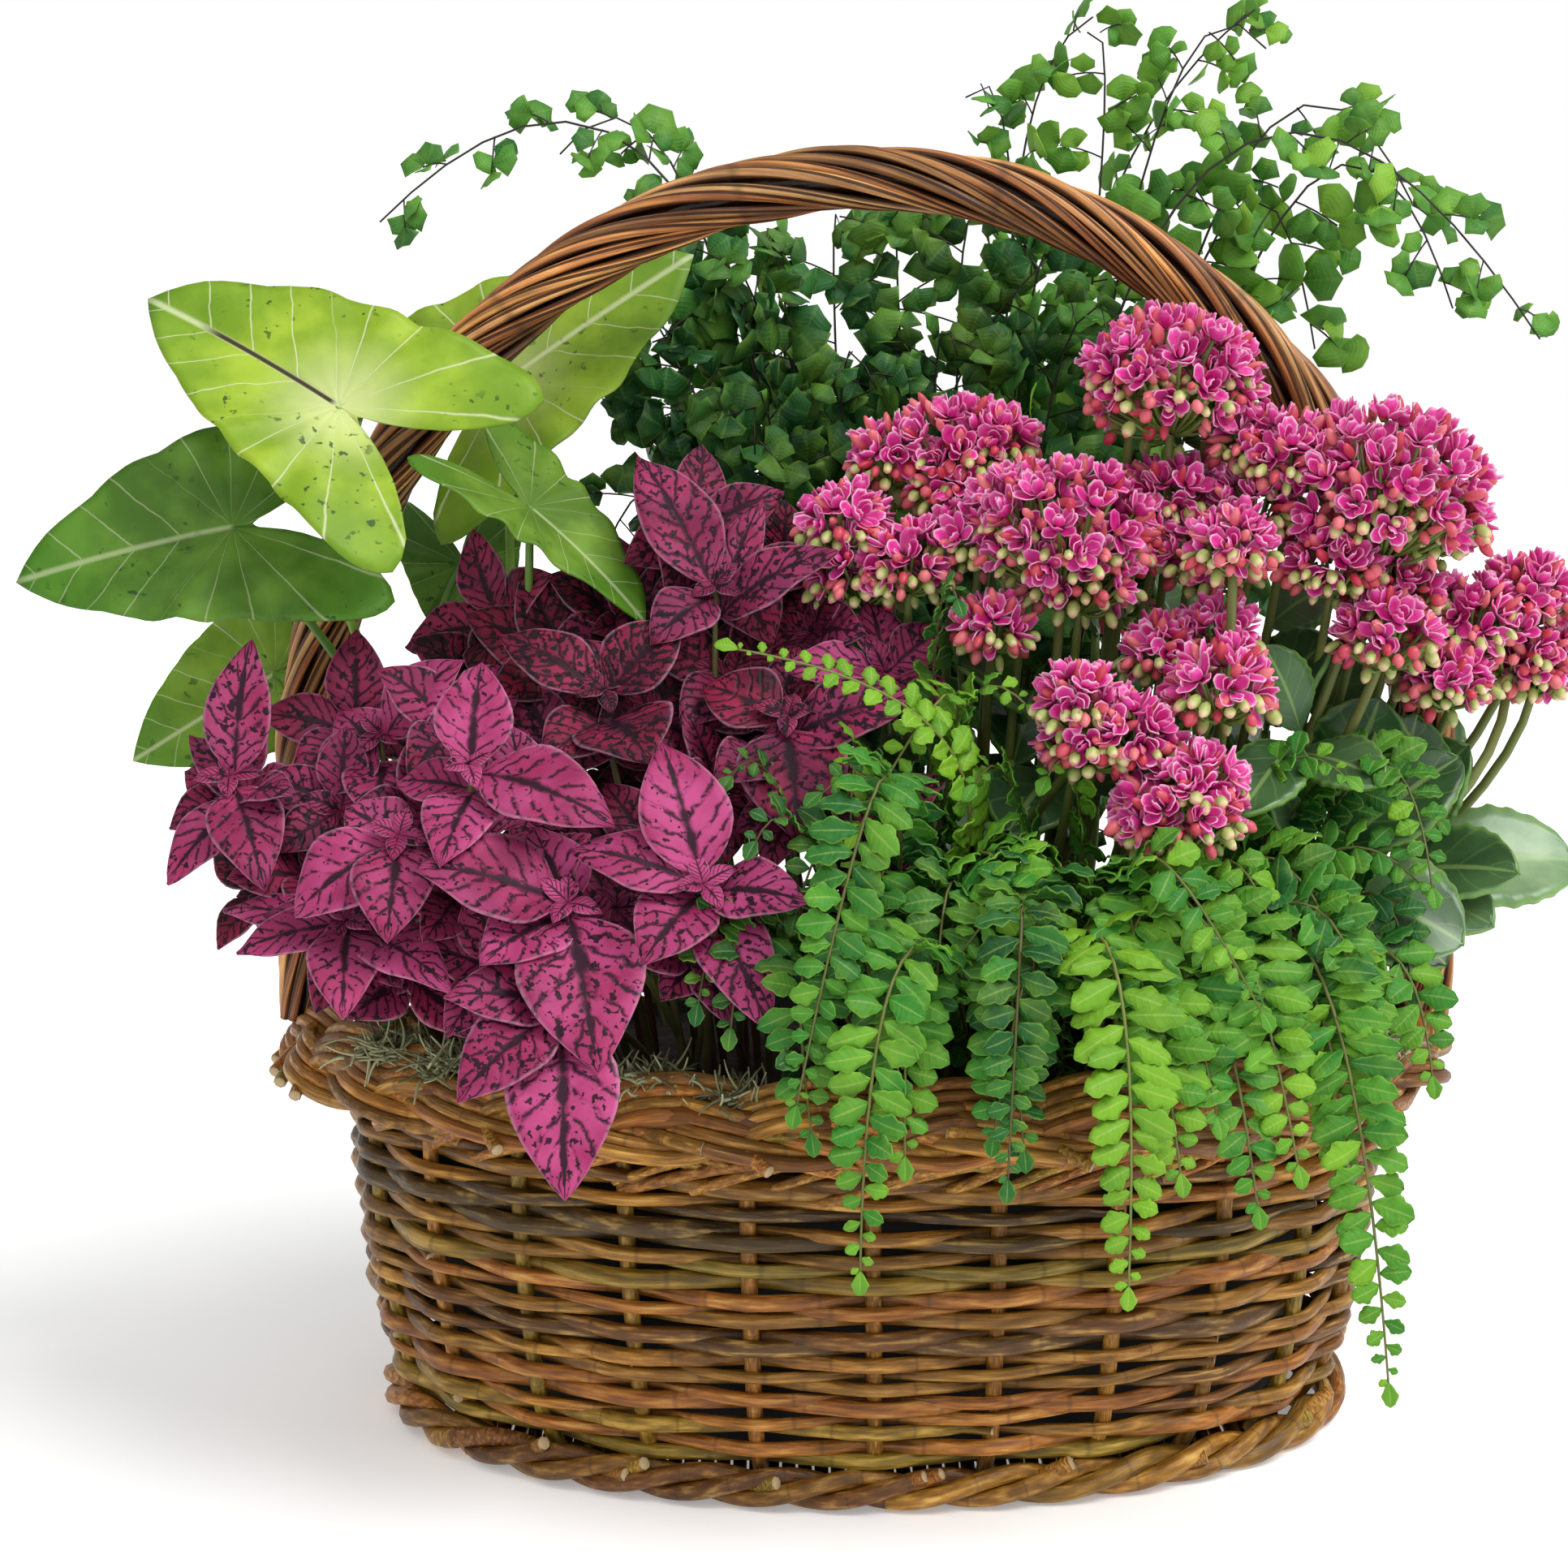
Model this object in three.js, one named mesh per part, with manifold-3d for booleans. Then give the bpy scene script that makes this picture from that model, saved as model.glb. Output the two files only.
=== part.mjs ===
// A planted oval willow basket with a fixed, rope-twisted arch handle.
// Millimetres, +Z up. The origin is the middle of the flat underside and the front looks along -Y.
// Arrowhead plant and pink polka-dot plant at the left, kalanchoe at the right, ferns behind and in front.

import * as THREE from "three";
import { ConvexGeometry } from "three/addons/geometries/ConvexGeometry.js";
import { mergeVertices } from "three/addons/utils/BufferGeometryUtils.js";
import Module from "manifold-3d";

const wasm = await Module();
wasm.setup();

// ---- driving dimensions --------------------------------------------------------------------------

const GAP = 0.35; // left between pieces that would touch

const WALL_COLUMNS = 36; // two to each upright stake
const INNER_COLUMNS = 18;
const FLOOR_AXES = [127, 86]; // half length and half width of the flat underside
const PLINTH_AXES = [131.6, 91]; // wall behind the foot
const WALL_LOW_AXES = [142.5, 101.5]; // wall just above the foot
const WALL_HIGH_AXES = [152, 112];
const WALL_BELLY = 2.8;
const ROW_LOW_Z = 17;
const ROW_PITCH = 7;
const ROW_COUNT = 13;
const ROD_RELIEF = 1.3; // a row stands out in front of one stake and dips behind the next
const ROW_GROOVE = 1.6;
const WALL_TOP_Z = 105;
const FLOOR_TOP_Z = 7;
const INNER_LOW_AXES = [127, 86];
const INNER_HIGH_AXES = [143, 103];

const FOOT = { axes: [138.8, 98.2], z: 6.2, radial: 5.6, vertical: 6.6, lobes: 2, turns: 10, relief: 0.9 };
const BORDER = {
  axes: [163.5, 122], z: 113.6, radial: 10.6, vertical: 11.2, lobes: 3, turns: 13, relief: 1.3,
};

const LINER_GAP = 0.8;
const LINER_WALL = 1.4;
const LINER_TOP_Z = 101;
const SOIL_TOP_Z = 97;
const SOIL_DOME = 6;
const HOLE_FLOOR_Z = 88;
const ROOT_Z = 90; // where every stem starts, inside its hole

const HANDLE_HALF_SPAN = 164;
const HANDLE_SPRING_Z = 180; // the legs are straight below this height
const HANDLE_RISE = 180;
const HANDLE_ROPE = { radius: 8.6, relief: 0.9, lobes: 5, sides: 10, turns: 2.5 };
const HANDLE_LEG_STEPS = 4;
const HANDLE_ARCH_STEPS = 34;
const HANDLE_ROPE_LOW_Z = 127;
const TENON_RADIUS = 5;
const TENON_LOW_Z = 107;
const SOCKET_RADIUS = 5.5;
const SOCKET_LOW_Z = 105;

const FACE = new THREE.Vector3(0, -0.7, 0.7).normalize(); // the way that the leaves in front turn
const BACK_FACE = new THREE.Vector3(0, 0.6, 0.8).normalize();

const COLOURS = {
  willow: 0x86602f,
  willowDark: 0x6b4a26,
  handle: 0xa5622e,
  liner: 0x1c1c1a,
  soil: 0x2b1f16,
  lime: 0x9fc13c,
  pink: 0xb8487c,
  magenta: 0xd6348a,
  fleshy: 0x4d6b3a,
  fern: 0x6f9a35,
  maidenhair: 0x3d5a2c,
};

// ---- solids --------------------------------------------------------------------------------------

// One closed body from points and triangles, turned outward where they were listed the other way round.
function solidOf(points, faces) {
  const vertProperties = new Float32Array(points.flat());
  const build = (list) =>
    new wasm.Manifold(new wasm.Mesh({ numProp: 3, vertProperties, triVerts: new Uint32Array(list.flat()) }));
  const solid = build(faces);
  return solid.volume() < 0 ? build(faces.map(([a, b, c]) => [a, c, b])) : solid;
}

function solidOfGeometry(geometry) {
  geometry.deleteAttribute("normal");
  geometry.deleteAttribute("uv");
  const merged = mergeVertices(geometry, 1e-4);
  const place = merged.attributes.position;
  const points = Array.from({ length: place.count }, (_, i) => [place.getX(i), place.getY(i), place.getZ(i)]);
  const faces = [];
  for (let i = 0; i < merged.index.count; i += 3) {
    faces.push([0, 1, 2].map((corner) => merged.index.getX(i + corner)));
  }
  return solidOf(points, faces);
}

// Joins rings of points into one closed skin. A ring of one point is a pole, and with wrap the last ring
// joins the first.
function skin(rings, wrap = false) {
  const starts = [];
  let count = 0;
  for (const ring of rings) {
    starts.push(count);
    count += ring.length;
  }
  const faces = [];
  const spans = wrap ? rings.length : rings.length - 1;
  for (let i = 0; i < spans; i++) {
    const next = (i + 1) % rings.length;
    const sides = Math.max(rings[i].length, rings[next].length);
    for (let j = 0; j < sides; j++) {
      const k = (j + 1) % sides;
      const low = starts[i] + (rings[i].length > 1 ? j : 0);
      const lowNext = starts[i] + (rings[i].length > 1 ? k : 0);
      const high = starts[next] + (rings[next].length > 1 ? j : 0);
      const highNext = starts[next] + (rings[next].length > 1 ? k : 0);
      if (low !== lowNext) faces.push([low, lowNext, highNext]);
      if (high !== highNext) faces.push([low, highNext, high]);
    }
  }
  return solidOf(rings.flat(), faces);
}

function union(solids) {
  return solids.length === 1 ? solids[0] : wasm.Manifold.union(solids);
}

// The largest body of a solid: loose scraps that a cut leaves are dropped.
function largest(solid) {
  const bodies = solid.decompose();
  return bodies.reduce((best, body) => (body.volume() > best.volume() ? body : best));
}

function cylinder(x, y, lowZ, highZ, radius, sides) {
  const geometry = new THREE.CylinderGeometry(radius, radius, highZ - lowZ, sides);
  geometry.rotateX(Math.PI / 2);
  geometry.translate(x, y, (lowZ + highZ) / 2);
  return solidOfGeometry(geometry);
}

// ---- the model: named meshes, and what is already placed ------------------------------------------

const model = new THREE.Group();
const placed = [];

function place(name, colour, solid, roughness = 0.7) {
  const cut = solid.getMesh();
  const geometry = new THREE.BufferGeometry();
  geometry.setAttribute("position", new THREE.BufferAttribute(new Float32Array(cut.vertProperties), 3));
  geometry.setIndex(new THREE.BufferAttribute(new Uint32Array(cut.triVerts), 1));
  const finish = new THREE.MeshStandardMaterial({ color: colour, roughness, metalness: 0 });
  const mesh = new THREE.Mesh(geometry, finish);
  mesh.name = name;
  model.add(mesh);
  placed.push({ solid, box: solid.boundingBox() });
}

function boxesNear(a, b) {
  return [0, 1, 2].every((i) => a.min[i] - GAP <= b.max[i] && b.min[i] - GAP <= a.max[i]);
}

function isClear(solid) {
  const box = solid.boundingBox();
  return placed.every((other) => !boxesNear(box, other.box) || solid.minGap(other.solid, 2 * GAP) >= GAP);
}

// ---- the basket ----------------------------------------------------------------------------------

function ovalPoint([a, b], angle, outward, z) {
  const x = a * Math.cos(angle);
  const y = b * Math.sin(angle);
  const slope = Math.hypot(b * Math.cos(angle), a * Math.sin(angle));
  const normal = [(b * Math.cos(angle)) / slope, (a * Math.sin(angle)) / slope];
  return [x + outward * normal[0], y + outward * normal[1], z];
}

function ovalRing(axes, z, columns, outward = () => 0) {
  const angleOf = (j) => (2 * Math.PI * j) / columns;
  return Array.from({ length: columns }, (_, j) => ovalPoint(axes, angleOf(j), outward(j), z));
}

function mixAxes(low, high, share) {
  return [low[0] + (high[0] - low[0]) * share, low[1] + (high[1] - low[1]) * share];
}

// The woven shell with its floor: from the middle of the underside out, up the rows, over the top, down the
// inside and back to the middle. Each row bulges before one stake and dips behind the next.
function basketWeave() {
  const rings = [[[0, 0, 0]], ovalRing(FLOOR_AXES, 0, WALL_COLUMNS), ovalRing(PLINTH_AXES, 3, WALL_COLUMNS)];
  const plinthTopZ = ROW_LOW_Z - ROW_PITCH / 2 - 0.5;
  rings.push(ovalRing(PLINTH_AXES, plinthTopZ, WALL_COLUMNS));
  for (let row = 0; row < ROW_COUNT; row++) {
    const share = row / (ROW_COUNT - 1);
    const axes = mixAxes(WALL_LOW_AXES, WALL_HIGH_AXES, share);
    const belly = WALL_BELLY * Math.sin(Math.PI * share);
    const z = ROW_LOW_Z + row * ROW_PITCH;
    const side = (column) => (Math.floor(column / 2 + row) % 2 === 0 ? 1 : -1);
    const relief = (column) => ROD_RELIEF * (column % 2 ? 0.2 : side(column));
    rings.push(ovalRing(axes, z, WALL_COLUMNS, (column) => belly + relief(column)));
    rings.push(ovalRing(axes, z + ROW_PITCH / 2, WALL_COLUMNS, () => belly - ROW_GROOVE));
  }
  rings.push(ovalRing(INNER_HIGH_AXES, WALL_TOP_Z, WALL_COLUMNS));
  rings.push(ovalRing(INNER_LOW_AXES, FLOOR_TOP_Z, WALL_COLUMNS));
  rings.push([[0, 0, FLOOR_TOP_Z]]);
  return skin(rings);
}

// A ring of rods laid round the oval and twisted: an oval section whose lobes turn as it goes round.
// Nothing reaches below the surface that the basket stands on.
function twistedRing({ axes, z, radial, vertical, lobes, turns, relief }, columns, sides) {
  const rings = [];
  for (let i = 0; i < columns; i++) {
    const angle = (2 * Math.PI * i) / columns;
    const ring = [];
    for (let j = 0; j < sides; j++) {
      const round = (2 * Math.PI * j) / sides;
      const lobe = relief * Math.cos(lobes * round - turns * angle);
      const outward = (radial + lobe) * Math.cos(round);
      const height = Math.max(0, z + (vertical + lobe) * Math.sin(round));
      ring.push(ovalPoint(axes, angle, outward, height));
    }
    rings.push(ring);
  }
  return skin(rings, true);
}

function basketBorder() {
  const sockets = [-HANDLE_HALF_SPAN, HANDLE_HALF_SPAN].map((x) =>
    cylinder(x, 0, SOCKET_LOW_Z, BORDER.z + 2 * BORDER.vertical, SOCKET_RADIUS, 12));
  return twistedRing(BORDER, 52, 9).subtract(union(sockets));
}

// A ring parallel to the inside of the wall, or that ring drawn in towards the middle by a share.
function innerRing(z, inset, reach = 1, lift = 0) {
  const share = (z - FLOOR_TOP_Z) / (WALL_TOP_Z - FLOOR_TOP_Z);
  return ovalRing(mixAxes(INNER_LOW_AXES, INNER_HIGH_AXES, share), z, INNER_COLUMNS, () => -inset)
    .map(([x, y, height]) => [x * reach, y * reach, height + lift]);
}

// A thin waterproof cup between the willow and the soil.
function liner() {
  const lowZ = FLOOR_TOP_Z + LINER_GAP;
  const inside = LINER_GAP + LINER_WALL;
  return skin([
    [[0, 0, lowZ]],
    innerRing(lowZ, LINER_GAP),
    innerRing(LINER_TOP_Z, LINER_GAP),
    innerRing(LINER_TOP_Z, inside),
    innerRing(lowZ + LINER_WALL, inside),
    [[0, 0, lowZ + LINER_WALL]],
  ]);
}

// The potting soil, slightly domed, with a plain hole for each clump of stems.
function soil(clumps) {
  const inset = LINER_GAP + LINER_WALL + 2 * GAP;
  const lowZ = FLOOR_TOP_Z + LINER_GAP + LINER_WALL + GAP;
  const rings = [[[0, 0, lowZ]], innerRing(lowZ, inset)];
  for (const reach of [1, 0.55]) {
    rings.push(innerRing(SOIL_TOP_Z, inset, reach, SOIL_DOME * (1 - reach * reach)));
  }
  rings.push([[0, 0, SOIL_TOP_Z + SOIL_DOME]]);
  const holes = clumps.map(({ x, y, radius }) =>
    cylinder(x, y, HOLE_FLOOR_Z, SOIL_TOP_Z + 2 * SOIL_DOME, radius, 6));
  return skin(rings).subtract(union(holes));
}

// The arch: straight legs and a half ellipse, in the plane Y = 0. Its rods lie side by side as lobes that
// turn slowly round the core, and a thinner tenon at each end stands in its socket in the border.
function handle() {
  const stops = [];
  const legStep = (HANDLE_SPRING_Z - HANDLE_ROPE_LOW_Z) / HANDLE_LEG_STEPS;
  for (let i = 0; i <= HANDLE_LEG_STEPS; i++) {
    stops.push([-HANDLE_HALF_SPAN, HANDLE_ROPE_LOW_Z + legStep * i]);
  }
  for (let i = 1; i < HANDLE_ARCH_STEPS; i++) {
    const angle = Math.PI * (1 - i / HANDLE_ARCH_STEPS);
    stops.push([HANDLE_HALF_SPAN * Math.cos(angle), HANDLE_SPRING_Z + HANDLE_RISE * Math.sin(angle)]);
  }
  for (let i = HANDLE_LEG_STEPS; i >= 0; i--) stops.push([HANDLE_HALF_SPAN, stops[i][1]]);
  const { radius, relief, lobes, sides, turns } = HANDLE_ROPE;
  const ringAt = ([x, z], [alongX, alongZ], twist, size, depth) =>
    Array.from({ length: sides }, (_, j) => {
      const round = (2 * Math.PI * j) / sides;
      const reach = size + depth * Math.cos(lobes * (round - twist));
      const across = reach * Math.cos(round);
      return [x - alongZ * across, reach * Math.sin(round), z + alongX * across];
    });
  const rope = stops.map((stop, i) => {
    const before = stops[Math.max(0, i - 1)];
    const after = stops[Math.min(stops.length - 1, i + 1)];
    const length = Math.hypot(after[0] - before[0], after[1] - before[1]);
    const along = [(after[0] - before[0]) / length, (after[1] - before[1]) / length];
    return ringAt(stop, along, (2 * Math.PI * turns * i) / (stops.length - 1), radius, relief);
  });
  const tenon = (x, z, alongZ) => ringAt([x, z], [0, alongZ], 0, TENON_RADIUS, 0);
  return skin([
    [[-HANDLE_HALF_SPAN, 0, TENON_LOW_Z]],
    tenon(-HANDLE_HALF_SPAN, TENON_LOW_Z, 1),
    tenon(-HANDLE_HALF_SPAN, HANDLE_ROPE_LOW_Z, 1),
    ...rope,
    tenon(HANDLE_HALF_SPAN, HANDLE_ROPE_LOW_Z, -1),
    tenon(HANDLE_HALF_SPAN, TENON_LOW_Z, -1),
    [[HANDLE_HALF_SPAN, 0, TENON_LOW_Z]],
  ]);
}

// ---- stems and leaves ----------------------------------------------------------------------------

const vec = (x, y, z) => new THREE.Vector3(x, y, z);

// The curve of a stem: straight up out of its root, through the middle point half way, to the top.
function stemCurve(root, middle, top) {
  const rise = Math.max(30, 0.4 * (Math.max(middle.z, top.z) - root.z));
  const above = root.clone().add(new THREE.Vector3(0, 0, rise));
  const bend = middle.clone().multiplyScalar(8).sub(root).addScaledVector(above, -3).sub(top).divideScalar(3);
  return new THREE.CubicBezierCurve3(root, above, bend, top);
}

function stem(curve, radius, steps, sides = 5) {
  const corners = Array.from({ length: sides }, (_, i) => {
    const angle = (2 * Math.PI * i) / sides;
    return new THREE.Vector2(radius * Math.cos(angle), radius * Math.sin(angle));
  });
  return solidOfGeometry(
    new THREE.ExtrudeGeometry(new THREE.Shape(corners), { extrudePath: curve, steps, bevelEnabled: false }));
}

// Directions of a leaf: forward along it, normal out of its face, side across it.
function leafFrame(base, tip, face) {
  const forward = tip.clone().sub(base);
  const length = forward.length();
  forward.divideScalar(length);
  const normal = face.clone().addScaledVector(forward, -face.dot(forward));
  if (normal.length() < 0.25) normal.set(0.3, 0, 1).addScaledVector(forward, -forward.z);
  normal.normalize();
  return { forward, normal, side: forward.clone().cross(normal), length };
}

// A thin leaf from base to tip. Its stations are pairs [share of the length, share of the half width]; each
// section is a flat diamond whose edges fold up a little, and the middle arches out along the normal.
function blade(base, tip, face, { width, thickness, stations, arch = 0.12, fold = 0.18 }) {
  const { forward, normal, side, length } = leafFrame(base, tip, face);
  const middleAt = (share) =>
    base.clone().addScaledVector(forward, length * share)
      .addScaledVector(normal, arch * length * 4 * share * (1 - share));
  const rings = [[base.toArray()]];
  for (const [share, spread] of stations) {
    const middle = middleAt(share);
    const half = (width / 2) * spread;
    const edge = (hand) =>
      middle.clone().addScaledVector(side, hand * half).addScaledVector(normal, fold * half);
    const rib = (hand) => middle.clone().addScaledVector(normal, (hand * thickness) / 2);
    rings.push([edge(1), rib(1), edge(-1), rib(-1)].map((point) => point.toArray()));
  }
  rings.push([tip.toArray()]);
  return skin(rings);
}

const SWINGS = [0, 10, -10, 20, -20, 32, -32, 45, -45, 60, -60];
const LIFTS = [0, 10, -10, 22, -22, 36, -36];

// The tips that a leaf may take, nearest first: swung to the side and lifted about its base.
function leafTips(base, tip, face) {
  const { forward, normal, side, length } = leafFrame(base, tip, face);
  const tips = [];
  for (const lift of LIFTS) {
    for (const swing of SWINGS) {
      const across = THREE.MathUtils.degToRad(swing);
      const up = THREE.MathUtils.degToRad(lift);
      const turned = forward.clone().multiplyScalar(Math.cos(across) * Math.cos(up))
        .addScaledVector(side, Math.sin(across) * Math.cos(up)).addScaledVector(normal, Math.sin(up));
      tips.push(base.clone().addScaledVector(turned, length));
    }
  }
  return tips;
}

// The first of the options that makes a solid clear of everything placed, or else null.
function firstClear(options, make) {
  for (const option of options) {
    const solid = make(option);
    if (isClear(solid)) return { solid, option };
  }
  return null;
}

const BENDS = [0, 6, -6, 12, -12, 20, -20, 30, -30];

// The curves that a stem may take from its root to its top, bowed sideways or to the back and front.
function stemCurves(root, top, bow) {
  const middle = root.clone().lerp(top, 0.5).add(bow);
  return BENDS.flatMap((across) => BENDS.map((deep) =>
    stemCurve(root, middle.clone().add(new THREE.Vector3(across, deep, 0)), top)));
}

// The free slot of a clump on the side that the stem's top lies.
function rootOf(clump, top) {
  const toward = vec(top.x - clump.x, top.y - clump.y, 0);
  clump.slots.sort((a, b) => b.dot(toward) - a.dot(toward));
  return vec(clump.x, clump.y, ROOT_Z).add(clump.slots.shift());
}

const LEAF_STATIONS = [[0.3, 0.95], [0.68, 0.8]];
const SCALLOPED_STATIONS = [[0.2, 0.5], [0.36, 0.95], [0.45, 0.84], [0.6, 1], [0.7, 0.8], [0.85, 0.72]];

// A point of a stem as it is made, on the straight pieces between its steps.
function stemPoint(curve, share, steps) {
  const step = Math.min(Math.floor(share * steps), steps - 1);
  return curve.getPointAt(step / steps).lerp(curve.getPointAt((step + 1) / steps), share * steps - step);
}

const LEAFY_STEPS = 4;
const FIRST_PAIR = 0.98; // share of the stem at which the first pair of leaves stands
const PAIR_STEP = 0.045;

// A leafy stem: leaves in pairs just under its top, each turned aside where it would touch a neighbour.
function leafyStem(name, colour, clump, crown, tips, leaf, face = FACE) {
  const root = rootOf(clump, crown);
  const curves = stemCurves(root, crown, vec(0, 0, 8));
  const found = firstClear(curves, (curve) => stem(curve, leaf.stalk, LEAFY_STEPS, 4));
  if (!found) throw new Error(`${name}: no clear stem`);
  const curve = found.option;
  const solids = [found.solid];
  tips.forEach(([x, y, z, width], index) => {
    const base = stemPoint(curve, FIRST_PAIR - PAIR_STEP * Math.floor(index / 2), LEAFY_STEPS);
    const shape = { ...leaf, width };
    const grown = firstClear(leafTips(base, vec(x, y, z), face), (tip) => blade(base, tip, face, shape));
    if (!grown) throw new Error(`${name}: no clear place for leaf ${index}`);
    solids.push(grown.solid);
  });
  place(name, colour, largest(union(solids)), 0.55);
}

// ---- arrowhead plant -----------------------------------------------------------------------------

// Outline of an arrowhead leaf about the joint of its petiole: degrees from the tip, share of the length.
const ARROWHEAD_OUTLINE = [
  [0, 1], [16, 0.78], [38, 0.58], [76, 0.46], [110, 0.54], [130, 0.74], [143, 0.82], [155, 0.48], [172, 0.12],
];

const ARROWHEAD_THICKNESS = 1.4;
const PETIOLE_RADIUS = 1.7;

// An arrow-shaped leaf in the plane of joint, tip and one back lobe: a fan of thin skin about the joint,
// creased along the midrib and drooping away from it.
function arrowheadBlade(joint, tip, lobe, droop) {
  const forward = tip.clone().sub(joint);
  const length = forward.length();
  forward.normalize();
  const normal = forward.clone().cross(lobe.clone().sub(joint)).normalize();
  if (normal.dot(FACE) < 0) normal.negate();
  const side = normal.clone().cross(forward);
  const outline = [
    ...ARROWHEAD_OUTLINE,
    ...ARROWHEAD_OUTLINE.slice(1).reverse().map(([angle, reach]) => [360 - angle, reach]),
  ];
  const at = (angle, reach, rise) => {
    const turn = THREE.MathUtils.degToRad(angle);
    const across = Math.abs(Math.sin(turn)) * reach;
    const sag = length * (0.2 * across - droop * reach * reach);
    return joint.clone().addScaledVector(forward, length * reach * Math.cos(turn))
      .addScaledVector(side, length * reach * Math.sin(turn)).addScaledVector(normal, sag + rise).toArray();
  };
  const midRing = (hand) =>
    outline.map(([angle, reach]) => at(angle, reach / 2, (hand * ARROWHEAD_THICKNESS) / 2));
  return skin([
    [at(0, 0, -ARROWHEAD_THICKNESS)],
    midRing(-1),
    outline.map(([angle, reach]) => at(angle, reach, 0)),
    midRing(1),
    [at(0, 0, ARROWHEAD_THICKNESS / 2)],
  ]);
}

const ARROWHEAD_LEAVES = [
  { joint: [-147, -38, 296], tip: [-203, -20, 330], lobe: [-131, -15, 325], droop: 0.1 },
  { joint: [-179, -28, 262], tip: [-242, -30, 250], lobe: [-196, -15, 282], droop: 0.12 },
  { joint: [-106, 28, 302], tip: [-52, 34, 341], lobe: [-91, 12, 282], droop: 0.08 },
  { joint: [-95, -34, 268], tip: [-60, -44, 240], lobe: [-84, 5, 282], droop: 0.1 },
  { joint: [-178, 34, 214], tip: [-219, 20, 190], lobe: [-188, 40, 240], droop: 0.1 },
  { joint: [-122, 46, 246], tip: [-116, 30, 214], lobe: [-138, 48, 252], droop: 0.1 },
];

function arrowheadPlant(clump) {
  ARROWHEAD_LEAVES.forEach(({ joint, tip, lobe, droop }, index) => {
    const name = `arrowhead_leaf_${index + 1}`;
    const top = vec(...joint);
    const leaf = arrowheadBlade(top, vec(...tip), vec(...lobe), droop);
    if (!isClear(leaf)) throw new Error(`${name}: its blade touches a neighbour`);
    const curves = stemCurves(rootOf(clump, top), top, vec(top.x > -120 ? 0 : -8, 0, 10));
    const found = firstClear(curves, (curve) => stem(curve, PETIOLE_RADIUS, 4));
    if (!found) throw new Error(`${name}: no clear petiole`);
    place(name, COLOURS.lime, largest(leaf.add(found.solid)), 0.45);
  });
}

// ---- pink polka-dot plant ------------------------------------------------------------------------

const POLKA_LEAF = { stalk: 1.2, thickness: 1.3, stations: LEAF_STATIONS, arch: 0.1, fold: 0.2 };

// Each stem: its clump, its crown, and the tips and widths of its leaves.
const POLKA_STEMS = [
  {
    clump: 0,
    crown: [-176, -60, 196],
    tips: [[-170, -56, 233, 17], [-163, -86, 170, 19], [-192, -70, 168, 14], [-156, -78, 194, 12],
      [-190, -42, 205, 12]],
  },
  {
    clump: 1,
    crown: [-107, -95, 204],
    tips: [[-104, -86, 230, 19], [-68, -112, 191, 22], [-112, -120, 182, 18], [-127, -86, 198, 14],
      [-94, -62, 209, 15]],
  },
  {
    clump: 2,
    crown: [-45, -112, 175],
    tips: [[-56, -96, 210, 22], [-79, -110, 184, 17], [-60, -130, 158, 20], [-18, -120, 172, 18],
      [-28, -134, 142, 18]],
  },
  {
    clump: 1,
    crown: [-80, -112, 170],
    tips: [[-118, -118, 181, 24], [-71, -142, 133, 30], [-101, -130, 158, 20], [-90, -98, 188, 18]],
  },
  {
    clump: 1,
    crown: [-81, -128, 146],
    tips: [[-79, -150, 102, 26], [-106, -145, 126, 20], [-110, -132, 150, 18]],
  },
  {
    clump: 0,
    crown: [-125, -100, 186],
    tips: [[-152, -106, 166, 22], [-126, -120, 162, 20], [-140, -90, 192, 18]],
  },
  {
    clump: 0,
    crown: [-135, -55, 207],
    tips: [[-112, -60, 228, 18], [-152, -60, 191, 18], [-148, -45, 212, 16], [-134, -78, 186, 19]],
  },
  {
    clump: 2,
    crown: [-73, -62, 220],
    tips: [[-102, -50, 234, 17], [-52, -56, 238, 20], [-60, -86, 204, 26], [-88, -82, 203, 18]],
  },
  {
    clump: 2,
    crown: [-43, -45, 247],
    tips: [[-65, -26, 282, 20], [-60, -62, 233, 17], [-10, -58, 258, 17], [-30, -30, 270, 12]],
  },
  {
    clump: 2,
    crown: [-23, -70, 214],
    tips: [[-20, -94, 184, 27], [-46, -60, 221, 20], [12, -76, 220, 20], [4, -98, 174, 20],
      [-42, -92, 200, 18]],
  },
  {
    clump: 0,
    crown: [-140, -94, 162],
    tips: [[-169, -96, 154, 13], [-138, -120, 142, 18], [-110, -122, 150, 16], [-176, -76, 162, 11]],
  },
  {
    clump: 3, face: BACK_FACE,
    crown: [-92, 62, 190],
    tips: [[-112, 96, 178, 22], [-72, 98, 182, 24], [-118, 68, 208, 20], [-70, 66, 212, 18],
      [-94, 88, 160, 20]],
  },
];

function polkaDotPlant(clumps) {
  POLKA_STEMS.forEach(({ clump, crown, tips, face }, index) => {
    const name = `polka_dot_stem_${String(index + 1).padStart(2, "0")}`;
    leafyStem(name, COLOURS.pink, clumps[clump], vec(...crown), tips, POLKA_LEAF, face);
  });
}

// ---- kalanchoe -----------------------------------------------------------------------------------

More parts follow.
